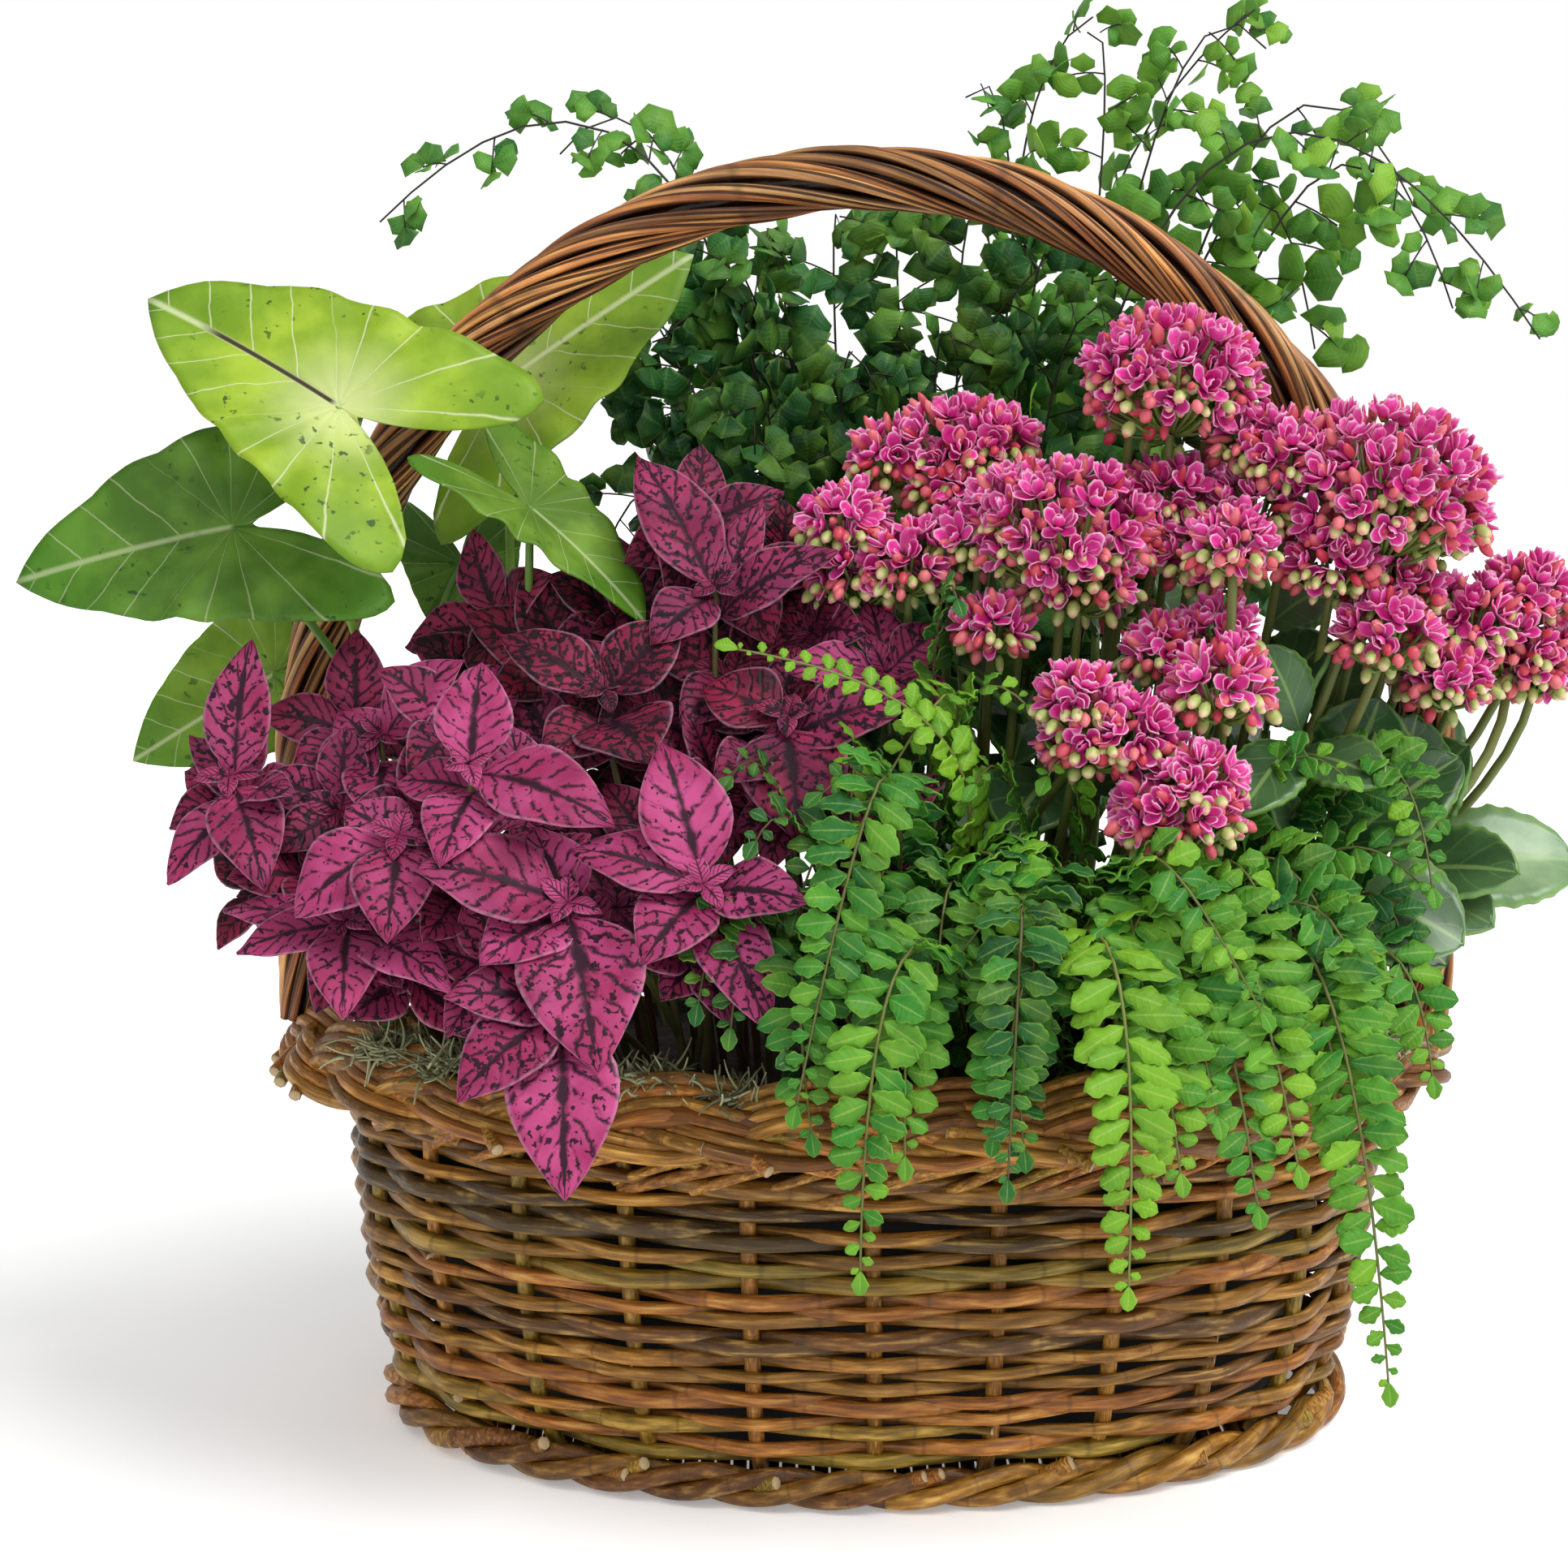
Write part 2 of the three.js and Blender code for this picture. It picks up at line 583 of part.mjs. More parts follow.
// Flower heads, each one or two balls of florets: place of the middle and radius.
const KALANCHOE_HEADS = [
  { clump: 4, balls: [[83, -37, 304, 25], [104, -40, 288, 10]] },
  { clump: 4, balls: [[24, -26, 285, 19]] },
  { clump: 4, balls: [[52, -56, 263, 25]] },
  { clump: 4, balls: [[-2, -38, 252, 17]] },
  { clump: 5, balls: [[96, -74, 261, 12]] },
  { clump: 5, balls: [[91, -92, 225, 15]] },
  { clump: 5, balls: [[140, -46, 273, 31]] },
  { clump: 5, balls: [[140, -60, 236, 15], [160, -46, 222, 13]] },
  { clump: 5, balls: [[182, -22, 232, 22]] },
  { clump: 4, balls: [[58, -92, 213, 16]] },
  { clump: 5, balls: [[79, -103, 194, 18]] },
  { clump: 4, balls: [[33, -62, 238, 11]] },
  { clump: 6, balls: [[100, 34, 262, 21], [80, 52, 240, 16]] },
];
const HEAD_FLATTEN = 0.78;
const HEAD_STALK_RADIUS = 1.5;
const HEAD_COVER = 1.6; // of the two radii from the top down
const FLORET_RADIUS = 9.4;
const FLORET_EYE = 0.98; // shares of the ball's radius
const PETAL_TIP = 1.04;
const PETAL_NOTCH = 0.84;
const GOLDEN_TURN = Math.PI * (3 - Math.sqrt(5));

// Directions of the florets round a ball, evenly by the golden angle from the top down to its shoulders.
function floretDirections(radius) {
  const count = Math.round((radius / FLORET_RADIUS) ** 2 * 2.3) + 2;
  return Array.from({ length: count }, (_, i) => {
    const height = 1 - (HEAD_COVER * (i + 0.5)) / count;
    const ring = Math.sqrt(1 - height * height);
    return vec(ring * Math.cos(GOLDEN_TURN * i), ring * Math.sin(GOLDEN_TURN * i), height);
  });
}

// One ball of a flower head. Every floret has its eye, four raised petal tips and four sunk notches; they are
// joined as their directions from the middle lie side by side, and each then moves out to its own height.
function floretBall(middle, radius) {
  const spread = (0.92 * FLORET_RADIUS) / radius;
  const points = [];
  const add = (direction, height) => points.push({ direction: direction.normalize(), height });
  floretDirections(radius).forEach((outward, index) => {
    const across = vec(-outward.y, outward.x, 0.01).normalize();
    const up = outward.clone().cross(across);
    add(outward.clone(), FLORET_EYE);
    for (let corner = 0; corner < 8; corner++) {
      const angle = index + (Math.PI * corner) / 4;
      const petal = corner % 2 === 0;
      const reach = spread * (petal ? 0.92 : 0.55);
      const direction = outward.clone().addScaledVector(across, reach * Math.cos(angle))
        .addScaledVector(up, reach * Math.sin(angle));
      add(direction, petal ? PETAL_TIP : PETAL_NOTCH);
    }
  });
  add(vec(0, 0, -1), 0.5);
  for (let side = 0; side < 5; side++) {
    const angle = (2 * Math.PI * side) / 5;
    add(vec(Math.cos(angle), Math.sin(angle), -1.9), 0.66);
  }
  const hull = new ConvexGeometry(points.map(({ direction }) => direction));
  const corner = hull.attributes.position;
  for (let i = 0; i < corner.count; i++) {
    const direction = vec(corner.getX(i), corner.getY(i), corner.getZ(i));
    const away = (point) => point.direction.distanceToSquared(direction);
    const { height } = points.reduce((best, point) => (away(point) < away(best) ? point : best));
    direction.multiplyScalar(radius * height).multiply(vec(1, 1, HEAD_FLATTEN)).add(middle);
    corner.setXYZ(i, direction.x, direction.y, direction.z);
  }
  return solidOfGeometry(hull);
}

function kalanchoeHead(name, clump, balls) {
  const [x, y, z, firstRadius] = balls[0];
  const top = vec(x, y, z - firstRadius * 0.3);
  const root = rootOf(clump, top);
  const curves = stemCurves(root, top, vec(0, 0, 0));
  const found = firstClear(curves, (curve) => stem(curve, HEAD_STALK_RADIUS, 4, 4));
  if (!found) throw new Error(`${name}: no clear stalk`);
  const solids = [found.solid];
  for (const [ballX, ballY, ballZ, radius] of balls) {
    const ball = floretBall(vec(ballX, ballY, ballZ), radius);
    if (!isClear(ball)) throw new Error(`${name}: a ball touches a neighbour`);
    solids.push(ball);
  }
  place(name, COLOURS.magenta, largest(union(solids)), 0.6);
}

const FLESHY_LEAF = { stalk: 1.8, thickness: 2.6, stations: SCALLOPED_STATIONS, arch: 0.08, fold: 0.16 };
const KALANCHOE_STEMS = [
  { clump: 5, crown: [119, -57, 207], tips: [[80, -82, 206, 20], [106, -62, 232, 18], [138, -74, 196, 20]] },
  { clump: 5, crown: [122, -56, 168], tips: [[160, -76, 152, 33], [140, -36, 214, 26], [104, -86, 160, 24]] },
  { clump: 5, crown: [148, -28, 162], tips: [[203, -24, 166, 34], [178, -42, 188, 28], [160, -64, 148, 26]] },
  { clump: 4, crown: [40, -34, 196], tips: [[12, -56, 168, 28], [38, -66, 164, 28], [62, -58, 184, 24],
    [20, 0, 206, 24]] },
];

function kalanchoe(clumps) {
  KALANCHOE_HEADS.forEach(({ clump, balls }, index) => {
    kalanchoeHead(`kalanchoe_head_${String(index + 1).padStart(2, "0")}`, clumps[clump], balls);
  });
}

function kalanchoeLeaves(clumps) {
  KALANCHOE_STEMS.forEach(({ clump, crown, tips }, index) => {
    leafyStem(`kalanchoe_stem_${index + 1}`, COLOURS.fleshy, clumps[clump], vec(...crown), tips, FLESHY_LEAF);
  });
}

// ---- ferns ---------------------------------------------------------------------------------------

const FROND_THICKNESS = 1.4;
const RIB_ROOM = 1.3; // radius of the tube that has to be clear along a frond
const FROND_STALK_RADIUS = 1.1;
// What a leaflet may do to stay clear: its turn out of the face and its share of the full size.
const LEAFLET_TURNS = [[0, 1], [0.4, 1], [-0.4, 1], [0.2, 0.6], [0, 0.3]];
const RAYS_CLOSE = 0.6; // share of their distance at the rib that two rays may lose inside a bend
const TIP_SHARE = 0.72; // place of a leaflet's tip between its two stations' rays
const BLADE_SCALES = [1, 0.8, 0.6, 0.4, 0.2];

const FERN_FRONDS = [
  { clump: 7, middle: [0, -104, 191], tip: [-21, -146, 124], length: 15 },
  { clump: 8, middle: [18, -114, 157], tip: [-5, -156, 84], length: 18 },
  { clump: 8, middle: [50, -114, 158], tip: [62, -156, 80], length: 19 },
  { clump: 9, middle: [100, -106, 150], tip: [130, -144, 51], length: 17 },
  { clump: 9, middle: [66, -106, 164], tip: [97, -136, 146], length: 13 },
  { clump: 9, middle: [107, -70, 170], tip: [149, -88, 169], length: 15 },
  { clump: 7, middle: [25, -84, 178], tip: [-37, -98, 235], length: 12 },
  { clump: 7, middle: [20, -84, 184], tip: [-5, -106, 188], length: 11 },
  { clump: 8, middle: [38, -118, 158], tip: [32, -150, 106], length: 13 },
  { clump: 9, middle: [96, -88, 155], tip: [130, -106, 132], length: 13 },
];

// How far a leaflet may reach from the rib between two stations before the rays that leave them sideways come
// too close together inside a bend.
function roomBetween(station, next, hand) {
  const chord = next.middleAt.clone().sub(station.middleAt);
  const closing = (-hand * next.side.clone().sub(station.side).dot(chord)) / chord.lengthSq();
  return closing > 0 ? RAYS_CLOSE / closing : Infinity;
}

// The corners of one leaflet between two stations of the rib: [near corner, tip, far corner]. They all lie
// between the two stations' rays, so that leaflets side by side never cross.
function leafletCorners(station, next, hand, { lift, reach, half, widest }) {
  const ray = ({ middleAt, side, normal }, out) => middleAt.clone()
    .addScaledVector(side, hand * out).addScaledVector(normal, lift * out);
  const at = (share, out) => ray(station, out).lerp(ray(next, out), share);
  return [at(0.5 - half, reach * widest), at(TIP_SHARE, reach), at(0.5 + half, reach * widest)];
}

// A thick copy of a leaflet, to test its place with.
function leafletProxy(station, next, corners) {
  const heart = station.middleAt.clone().lerp(next.middleAt, 0.5);
  const [near, point, far] = corners;
  const belly = point.clone().lerp(heart, 0.5);
  const thick = station.normal.clone().multiplyScalar(FROND_THICKNESS / 2);
  return skin([[heart.toArray()],
    [near, belly.clone().add(thick), far, belly.clone().sub(thick)].map((corner) => corner.toArray()),
    [point.toArray()]]);
}

// Places along a curve with the directions of a blade there. The last one faces the given way, and each one
// before it faces as its follower does, so that the blade never flips over as it bends.
function framesAlong(curve, shares, face) {
  const frames = [];
  let toward = face;
  for (const share of [...shares].reverse()) {
    const middleAt = curve.getPointAt(share);
    const along = curve.getTangentAt(share);
    const frame = { middleAt, along, ...leafFrame(middleAt, middleAt.clone().add(along), toward) };
    toward = frame.normal;
    frames.unshift(frame);
  }
  return frames;
}

// A frond along a curve: a bare stalk, then a thin arched blade whose outline is cut to the rib between the
// leaflets. A leaflet that would touch a neighbour is turned up or down, or cut short.
function growFrond(curve, { count, length, ratio, bareShare, widest }, face, scale) {
  const shares = Array.from({ length: count + 1 }, (_, i) => bareShare + ((1 - bareShare) * i) / count);
  const stations = framesAlong(curve, shares, face);
  const outline = [1, -1].map((hand) => stations.slice(0, -1).map((station, i) => {
    const next = stations[i + 1];
    const full = scale * length * Math.sin(Math.PI * (0.24 + 0.66 * (i / count))) ** 0.8;
    const size = Math.min(full, roomBetween(station, next, hand));
    const half = (Math.min(0.94, full / next.middleAt.distanceTo(station.middleAt)) * ratio) / 2;
    const cornersAt = ([lift, reach]) =>
      leafletCorners(station, next, hand, { lift, reach: reach * size, half, widest });
    const grown = firstClear(LEAFLET_TURNS, (option) => leafletProxy(station, next, cornersAt(option)));
    const notch = station.middleAt.clone().addScaledVector(station.side, (hand * FROND_THICKNESS) / 2);
    return { notch, leaflet: cornersAt(grown ? grown.option : [0, 0.12]) };
  }));
  return frondSkin(stalkRings(curve, bareShare, stations[0].normal), stations, outline);
}

// The square rings of a frond's bare stalk, from its root up to just under its first leaflets. Their corners
// lie above, beside and below the middle, as those of the blade's first ring do.
function stalkRings(curve, bareShare, face) {
  const shares = [0, 0.12, 0.4, 0.72].map((share) => share * bareShare);
  return framesAlong(curve, shares, face).map(({ middleAt, normal, side }) =>
    [[normal, 1], [side, 1], [normal, -1], [side, -1]]
      .map(([way, hand]) => middleAt.clone().addScaledVector(way, hand * FROND_STALK_RADIUS)));
}

// A frond on a bare stalk. Its leaflets shrink, and then its rib bends another way, until the whole is clear
// of everything placed before it.
function frond(name, colour, clump, middle, tip, shape, face) {
  const root = rootOf(clump, middle);
  const curves = BENDS.flatMap((across) => BENDS.map((deep) =>
    stemCurve(root, middle.clone().add(vec(across, deep * 0.5, Math.abs(deep) * 0.3)), tip)));
  const tries = curves.filter((curve) => isClear(stem(curve, RIB_ROOM, 12, 4)))
    .flatMap((curve) => BLADE_SCALES.map((scale) => ({ curve, scale })));
  const grown = firstClear(tries, ({ curve, scale }) => growFrond(curve, shape, face, scale));
  if (!grown) throw new Error(`${name}: no clear blade`);
  place(name, colour, grown.solid, 0.6);
}

// The closed skin of a frond: the stalk's rings, then the blade with the same triangles on its upper and its
// lower face, which meet along the outline.
function frondSkin(stalk, stations, outline) {
  const points = [];
  const faces = [];
  const index = (point) => points.push(point.toArray()) - 1;
  const last = stations[stations.length - 1];
  const end = index(last.middleAt.clone().addScaledVector(last.along, 2));
  const ribIndices = (hand) => stations.slice(0, -1).map(({ middleAt, normal }) =>
    index(middleAt.clone().addScaledVector(normal, (hand * FROND_THICKNESS) / 2)));
  const topIndex = [...ribIndices(1), end];
  const bottomIndex = [...ribIndices(-1), end];
  const notchIndex = outline.map((corners) => [...corners.map(({ notch }) => index(notch)), end]);

  const rings = stalk.map((ring) => ring.map(index));
  const [root] = rings;
  rings.push([topIndex[0], notchIndex[0][0], bottomIndex[0], notchIndex[1][0]]);
  faces.push([root[0], root[3], root[2]], [root[0], root[2], root[1]]);
  for (let i = 0; i < rings.length - 1; i++) {
    const [ring, above] = [rings[i], rings[i + 1]];
    for (let j = 0; j < 4; j++) {
      const k = (j + 1) % 4;
      faces.push([ring[j], ring[k], above[k]], [ring[j], above[k], above[j]]);
    }
  }

  outline.forEach((corners, hand) => {
    const notches = notchIndex[hand];
    corners.forEach(({ leaflet }, i) => {
      const [near, point, far] = leaflet.map(index);
      for (const [rib, turned] of [[topIndex, hand === 1], [bottomIndex, hand === 0]]) {
        const fan = [
          [rib[i], notches[i], near], [rib[i], near, point], [rib[i], point, rib[i + 1]],
          [rib[i + 1], point, far], [rib[i + 1], far, notches[i + 1]],
        ].filter(([a, b, c]) => a !== b && b !== c && a !== c);
        faces.push(...fan.map(([a, b, c]) => (turned ? [a, c, b] : [a, b, c])));
      }
    });
  });
  return solidOf(points, faces);
}

function buttonFern(clumps) {
  FERN_FRONDS.forEach(({ clump, middle, tip, length }, index) => {
    const shape = { count: 7, length, ratio: 0.7, bareShare: 0.4, widest: 0.5 };
    const name = `fern_frond_${String(index + 1).padStart(2, "0")}`;
    frond(name, COLOURS.fern, clumps[clump], vec(...middle), vec(...tip), shape, FACE);
  });
}

const MAIDENHAIR_FRONDS = [
  { clump: 10, middle: [-33, 62, 304], tip: [-146, 52, 349], length: 19 },
  { clump: 10, middle: [-21, 56, 211], tip: [-69, 46, 330], length: 20 },
  { clump: 10, middle: [-12, 70, 232], tip: [-40, 58, 340], length: 22 },
  { clump: 11, middle: [22, 66, 225], tip: [56, 58, 338], length: 22 },
  { clump: 11, middle: [45, 84, 294], tip: [71, 80, 412], length: 21 },
  { clump: 11, middle: [60, 92, 284], tip: [122, 88, 415], length: 20 },
  { clump: 11, middle: [74, 60, 310], tip: [204, 46, 314], length: 20 },
  { clump: 10, middle: [10, 100, 220], tip: [-30, 140, 170], length: 20 },
  { clump: 12, middle: [84, 96, 190], tip: [104, 126, 160], length: 20 },
];

function maidenhair(clumps) {
  MAIDENHAIR_FRONDS.forEach(({ clump, middle, tip, length }, index) => {
    const shape = { count: 7, length, ratio: 0.8, bareShare: 0.34, widest: 0.86 };
    const name = `maidenhair_frond_${index + 1}`;
    const face = index < 7 ? FACE : BACK_FACE;
    frond(name, COLOURS.maidenhair, clumps[clump], vec(...middle), vec(...tip), shape, face);
  });
}

// ---- putting it together -------------------------------------------------------------------------

// A clump of stems that rise from one hole in the soil, each from its own slot round the middle.
function clumpOf(x, y, stems) {
  const spread = stems > 1 ? 2.6 / Math.sin(Math.PI / Math.max(stems, 2)) : 0;
  const slots = Array.from({ length: stems }, (_, i) => {
    const angle = (2 * Math.PI * (i + 0.5)) / stems;
    return vec(spread * Math.cos(angle), spread * Math.sin(angle), 0);
  });
  return { x, y, slots, radius: spread + 4 };
}

const arrowheadClump = clumpOf(-104, 8, 6);
const clumps = [
  clumpOf(-108, -36, 4),
  clumpOf(-78, -58, 3),
  clumpOf(-48, -52, 4),
  clumpOf(-78, 44, 1),
  clumpOf(40, -14, 7),
  clumpOf(92, -22, 9),
  clumpOf(104, 30, 2),
  clumpOf(4, -60, 3),
  clumpOf(38, -66, 3),
  clumpOf(78, -62, 4),
  clumpOf(-8, 50, 4),
  clumpOf(44, 52, 4),
  clumpOf(80, 54, 1),
];

place("basket_weave", COLOURS.willow, basketWeave());
place("basket_foot", COLOURS.willowDark, twistedRing(FOOT, 42, 6));
place("basket_border", COLOURS.willow, basketBorder());
place("handle", COLOURS.handle, handle());
place("liner", COLOURS.liner, liner());
place("soil", COLOURS.soil, soil([arrowheadClump, ...clumps]));
arrowheadPlant(arrowheadClump);
kalanchoe(clumps);
polkaDotPlant(clumps);
kalanchoeLeaves(clumps);
buttonFern(clumps);
maidenhair(clumps);

export default model;
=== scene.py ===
# %% [markdown]
# # A planted willow basket
# The object is an oval willow basket with a rope-twisted arch handle, planted with an arrowhead plant, a
# pink polka-dot plant, a kalanchoe in flower, a maidenhair fern and a button fern. The CAD model gives every
# stem, leaf and head its place. Here each of them gets its real surface: rods that weave, leaves with veins,
# florets with petals, fronds with many leaflets. Each piece is a surface worked out with numpy, so that its
# form is one formula that can be read and changed.

import bpy
import numpy as np
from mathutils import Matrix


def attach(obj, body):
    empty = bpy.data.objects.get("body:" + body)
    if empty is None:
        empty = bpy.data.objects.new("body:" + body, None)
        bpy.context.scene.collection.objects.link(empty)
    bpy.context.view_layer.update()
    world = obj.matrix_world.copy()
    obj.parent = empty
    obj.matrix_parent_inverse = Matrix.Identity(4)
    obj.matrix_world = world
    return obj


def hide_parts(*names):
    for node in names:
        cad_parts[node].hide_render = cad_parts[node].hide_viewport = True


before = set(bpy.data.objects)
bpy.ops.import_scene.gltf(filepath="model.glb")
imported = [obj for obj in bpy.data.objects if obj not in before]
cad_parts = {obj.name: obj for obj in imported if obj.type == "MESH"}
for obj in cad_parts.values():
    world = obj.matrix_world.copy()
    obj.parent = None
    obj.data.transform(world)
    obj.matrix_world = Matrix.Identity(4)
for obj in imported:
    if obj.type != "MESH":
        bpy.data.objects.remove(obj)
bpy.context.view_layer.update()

MM = 0.001  # all shapes below are worked out in millimetres
TURN = 2 * np.pi
UP = np.array([0, 0, 1.0])
rng = np.random.default_rng(7)

# %% [markdown]
# ## Camera, floor and light
# The picture was taken from the front with a long lens, a little above the rim and looking 8 degrees down.
# The same numbers turn a place in the picture back into a place in the basket, which is how leaves that the
# CAD model leaves out find their place. The light is a soft sun at the upper right, a weaker one from the
# front and an even white sky. The floor glows a little, so the basket's shadow on it stays pale.

# %% Camera
EYE = np.array([-24.0, -930.0, 320.0])
PITCH = np.radians(8.25)
FRAME_WIDTH = 1932
FOCAL = 3950.0  # in pixels of the picture

camera = bpy.data.objects.new("camera", bpy.data.cameras.new("camera"))
bpy.context.scene.collection.objects.link(camera)
camera.location = EYE * MM
camera.rotation_euler = (np.pi / 2 - PITCH, 0, 0)
camera.data.sensor_width = 36
camera.data.lens = FOCAL / FRAME_WIDTH * 36
camera.data.clip_start = 0.01
bpy.context.scene.camera = camera
print("lens", round(camera.data.lens, 1), "mm")


def seen(px, py, depth):
    """The place at Y = depth that the camera sees at a pixel: the eye plus the pixel's ray, stretched."""
    across, down = (px - FRAME_WIDTH / 2) / FOCAL, (py - FRAME_WIDTH / 2) / FOCAL
    ray = np.array([across, np.cos(PITCH) - np.sin(PITCH) * down, -np.sin(PITCH) - np.cos(PITCH) * down])
    return EYE + ray * (depth - EYE[1]) / ray[1]


# %% Floor and light
def colour(text):
    """Linear colour of a hex colour as it looks on a screen."""
    value = np.array([int(text[i : i + 2], 16) for i in (1, 3, 5)]) / 255
    linear = np.where(value <= 0.04045, value / 12.92, ((value + 0.055) / 1.055) ** 2.4)
    return (*(float(v) for v in linear), 1.0)


bpy.context.scene.view_settings.view_transform = "Standard"
world = bpy.data.worlds.new("studio")
world.use_nodes = True
nodes, links = world.node_tree.nodes, world.node_tree.links
sky = nodes["Background"]
sky.inputs["Color"].default_value = (1, 1, 1, 1)
path = nodes.new("ShaderNodeLightPath")
strength = nodes.new("ShaderNodeMapRange")  # white where the camera looks past the basket, softer as a light
strength.inputs["To Min"].default_value = 0.5
strength.inputs["To Max"].default_value = 1.0
links.new(path.outputs["Is Camera Ray"], strength.inputs["Value"])
links.new(strength.outputs[0], sky.inputs["Strength"])
bpy.context.scene.world = world


def soft_sun(name, place, angle, strength):
    """A sun that shines from a place towards the basket; a wide angle makes its shadows soft."""
    data = bpy.data.lights.new(name, "SUN")
    data.energy, data.angle = strength, np.radians(angle)
    light = bpy.data.objects.new(name, data)
    bpy.context.scene.collection.objects.link(light)
    x, y, z = place
    light.rotation_euler = (np.arctan2(np.hypot(x, y), z), 0, np.arctan2(y, x) + np.pi / 2)
    light.location = place
    print(f"{name} light: strength {strength}, {angle} degrees wide")


soft_sun("key", (0.95, -0.6, 1.5), 34, 2.1)
soft_sun("front", (-0.1, -1.0, 0.6), 60, 0.5)

# %% [markdown]
# ## Tools: sheets and rods
# Everything here is one of two surfaces. A leaf or petal is a sheet: a grid of points along and across it.
# A rod or stem is a tube: a ring of points carried along a path. Both are made for many pieces at once, as one
# array of points, and gathered into a few meshes, because a mesh for each of a thousand leaves would be slow
# and hard to handle. Every point keeps a tint of three numbers, which the finishes read as this rod's own
# colour, how dark it is, and a mark such as a cut end.

# %% Gathering grids into a mesh
def tint_of(*numbers):
    """A tint from one to three numbers, or arrays of them; those that aren't given are 0."""
    return np.stack(np.broadcast_arrays(*numbers, *[0.0] * (3 - len(numbers))), -1)


def unit(vectors):
    """Each vector divided by its length."""
    return vectors / np.maximum(np.linalg.norm(vectors, axis=-1, keepdims=True), 1e-9)


class Bundle:
    """Grids of points that will be one mesh: quads between neighbours, and flat caps on the ends of tubes."""

    def __init__(self):
        self.points, self.faces, self.uv, self.tint, self.size = [], [], [], [], 0

    def add(self, grids, uv, tint, closed=False, caps=False):
        """Grids: pieces x rows x columns x 3. Closed joins the last column to the first, as round a tube."""
        count, rows, columns, _ = grids.shape
        row = np.arange(rows - 1)[:, None]
        column = np.arange(columns if closed else columns - 1)[None, :]
        after = (column + 1) % columns
        quads = np.stack([row * columns + column, row * columns + after, (row + 1) * columns + after,
                          (row + 1) * columns + column], -1).reshape(-1, 4)
        starts = self.size + np.arange(count)[:, None, None] * rows * columns
        self.faces.append((starts + quads[None]).reshape(-1, 4))
        if caps:
            ring = np.arange(columns)
            self.faces.append((starts[:, 0] + ring[None, ::-1]).reshape(-1, columns))
            self.faces.append((starts[:, 0] + (rows - 1) * columns + ring[None]).reshape(-1, columns))
        self.points.append(grids.reshape(-1, 3))
        self.uv.append(np.broadcast_to(uv, (count, rows, columns, 2)).reshape(-1, 2))
        tint = np.atleast_2d(np.asarray(tint, float))
        tint = tint[:, None, None, :] if tint.ndim == 2 else tint
        self.tint.append(np.broadcast_to(tint, (count, rows, columns, 3)).reshape(-1, 3))
        self.size += count * rows * columns

    def add_tubes(self, paths, radii, sides, toward, tint, caps=True):
        """Tubes along paths, closed at their ends by flat caps."""
        uv = tube_uv(paths.shape[1], sides)
        self.add(tubes(paths, radii, sides, toward), uv, tint, closed=True, caps=caps)

    def piece(self, name, material, slot, nodes=(), thickness=0.0):
        """The mesh in metres, its finish, the CAD nodes that it stands for and, for sheets, its thickness."""
        mesh = bpy.data.meshes.new(name)
        points = np.concatenate(self.points) * MM
        corners = np.concatenate([faces.ravel() for faces in self.faces])
        lengths = np.concatenate([np.full(len(faces), faces.shape[1]) for faces in self.faces])
        mesh.vertices.add(len(points))
        mesh.vertices.foreach_set("co", points.ravel())
        mesh.loops.add(len(corners))
        mesh.loops.foreach_set("vertex_index", corners)
        mesh.polygons.add(len(lengths))
        mesh.polygons.foreach_set("loop_start", np.concatenate([[0], np.cumsum(lengths)[:-1]]))
        mesh.update(calc_edges=True)
        mesh.polygons.foreach_set("use_smooth", lengths == 4)
        layer = mesh.uv_layers.new(name="UVMap")
        layer.data.foreach_set("uv", np.concatenate(self.uv)[corners].ravel())
        tint = mesh.attributes.new("tint", "FLOAT_COLOR", "POINT")
        tint.data.foreach_set("color", np.c_[np.concatenate(self.tint), np.ones(len(points))].ravel())
        mesh.materials.append(material)
        thing = bpy.data.objects.new(name, mesh)
        bpy.context.scene.collection.objects.link(thing)
        if thickness:
            solid = thing.modifiers.new("thickness", "SOLIDIFY")
            solid.thickness, solid.offset = thickness * MM, 0
        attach(thing, "root")
        if nodes:
            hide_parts(*nodes)
        print(f"{name}: {len(points)} points, {len(lengths)} faces")
        return thing


# %% Tubes
def tubes(paths, radii, sides, toward):
    """Round skins along paths: each ring is the path's point plus radius times a circle square to the path."""
    along = unit(np.gradient(paths, axis=-2))
    toward = np.broadcast_to(toward, paths.shape)
    first = unit(toward - (toward * along).sum(-1, keepdims=True) * along)
    second = np.cross(along, first)
    angle = TURN * np.arange(sides) / sides
    circle = np.cos(angle)[:, None] * first[..., None, :] + np.sin(angle)[:, None] * second[..., None, :]
    return paths[..., None, :] + np.broadcast_to(radii, paths.shape[:-1])[..., None, None] * circle


def tube_uv(rows, sides):
    """U runs along a tube and V round it."""
    return np.stack(np.meshgrid(np.linspace(0, 1, rows), np.arange(sides) / sides, indexing="ij"), -1)


# %% Sheets
def leaf_frame(base, tip, face):
    """Directions of a leaf: forward along it, normal out of its face, side across it, and its length."""
    forward = tip - base
    length = np.linalg.norm(forward, axis=-1, keepdims=True)
    forward = forward / length
    normal = face - (face * forward).sum(-1, keepdims=True) * forward
    spare = np.array([0.3, 0, 1]) - forward * forward[..., 2:]
    normal = unit(np.where(np.linalg.norm(normal, axis=-1, keepdims=True) < 0.25, spare, normal))
    return forward, normal, np.cross(forward, normal), length


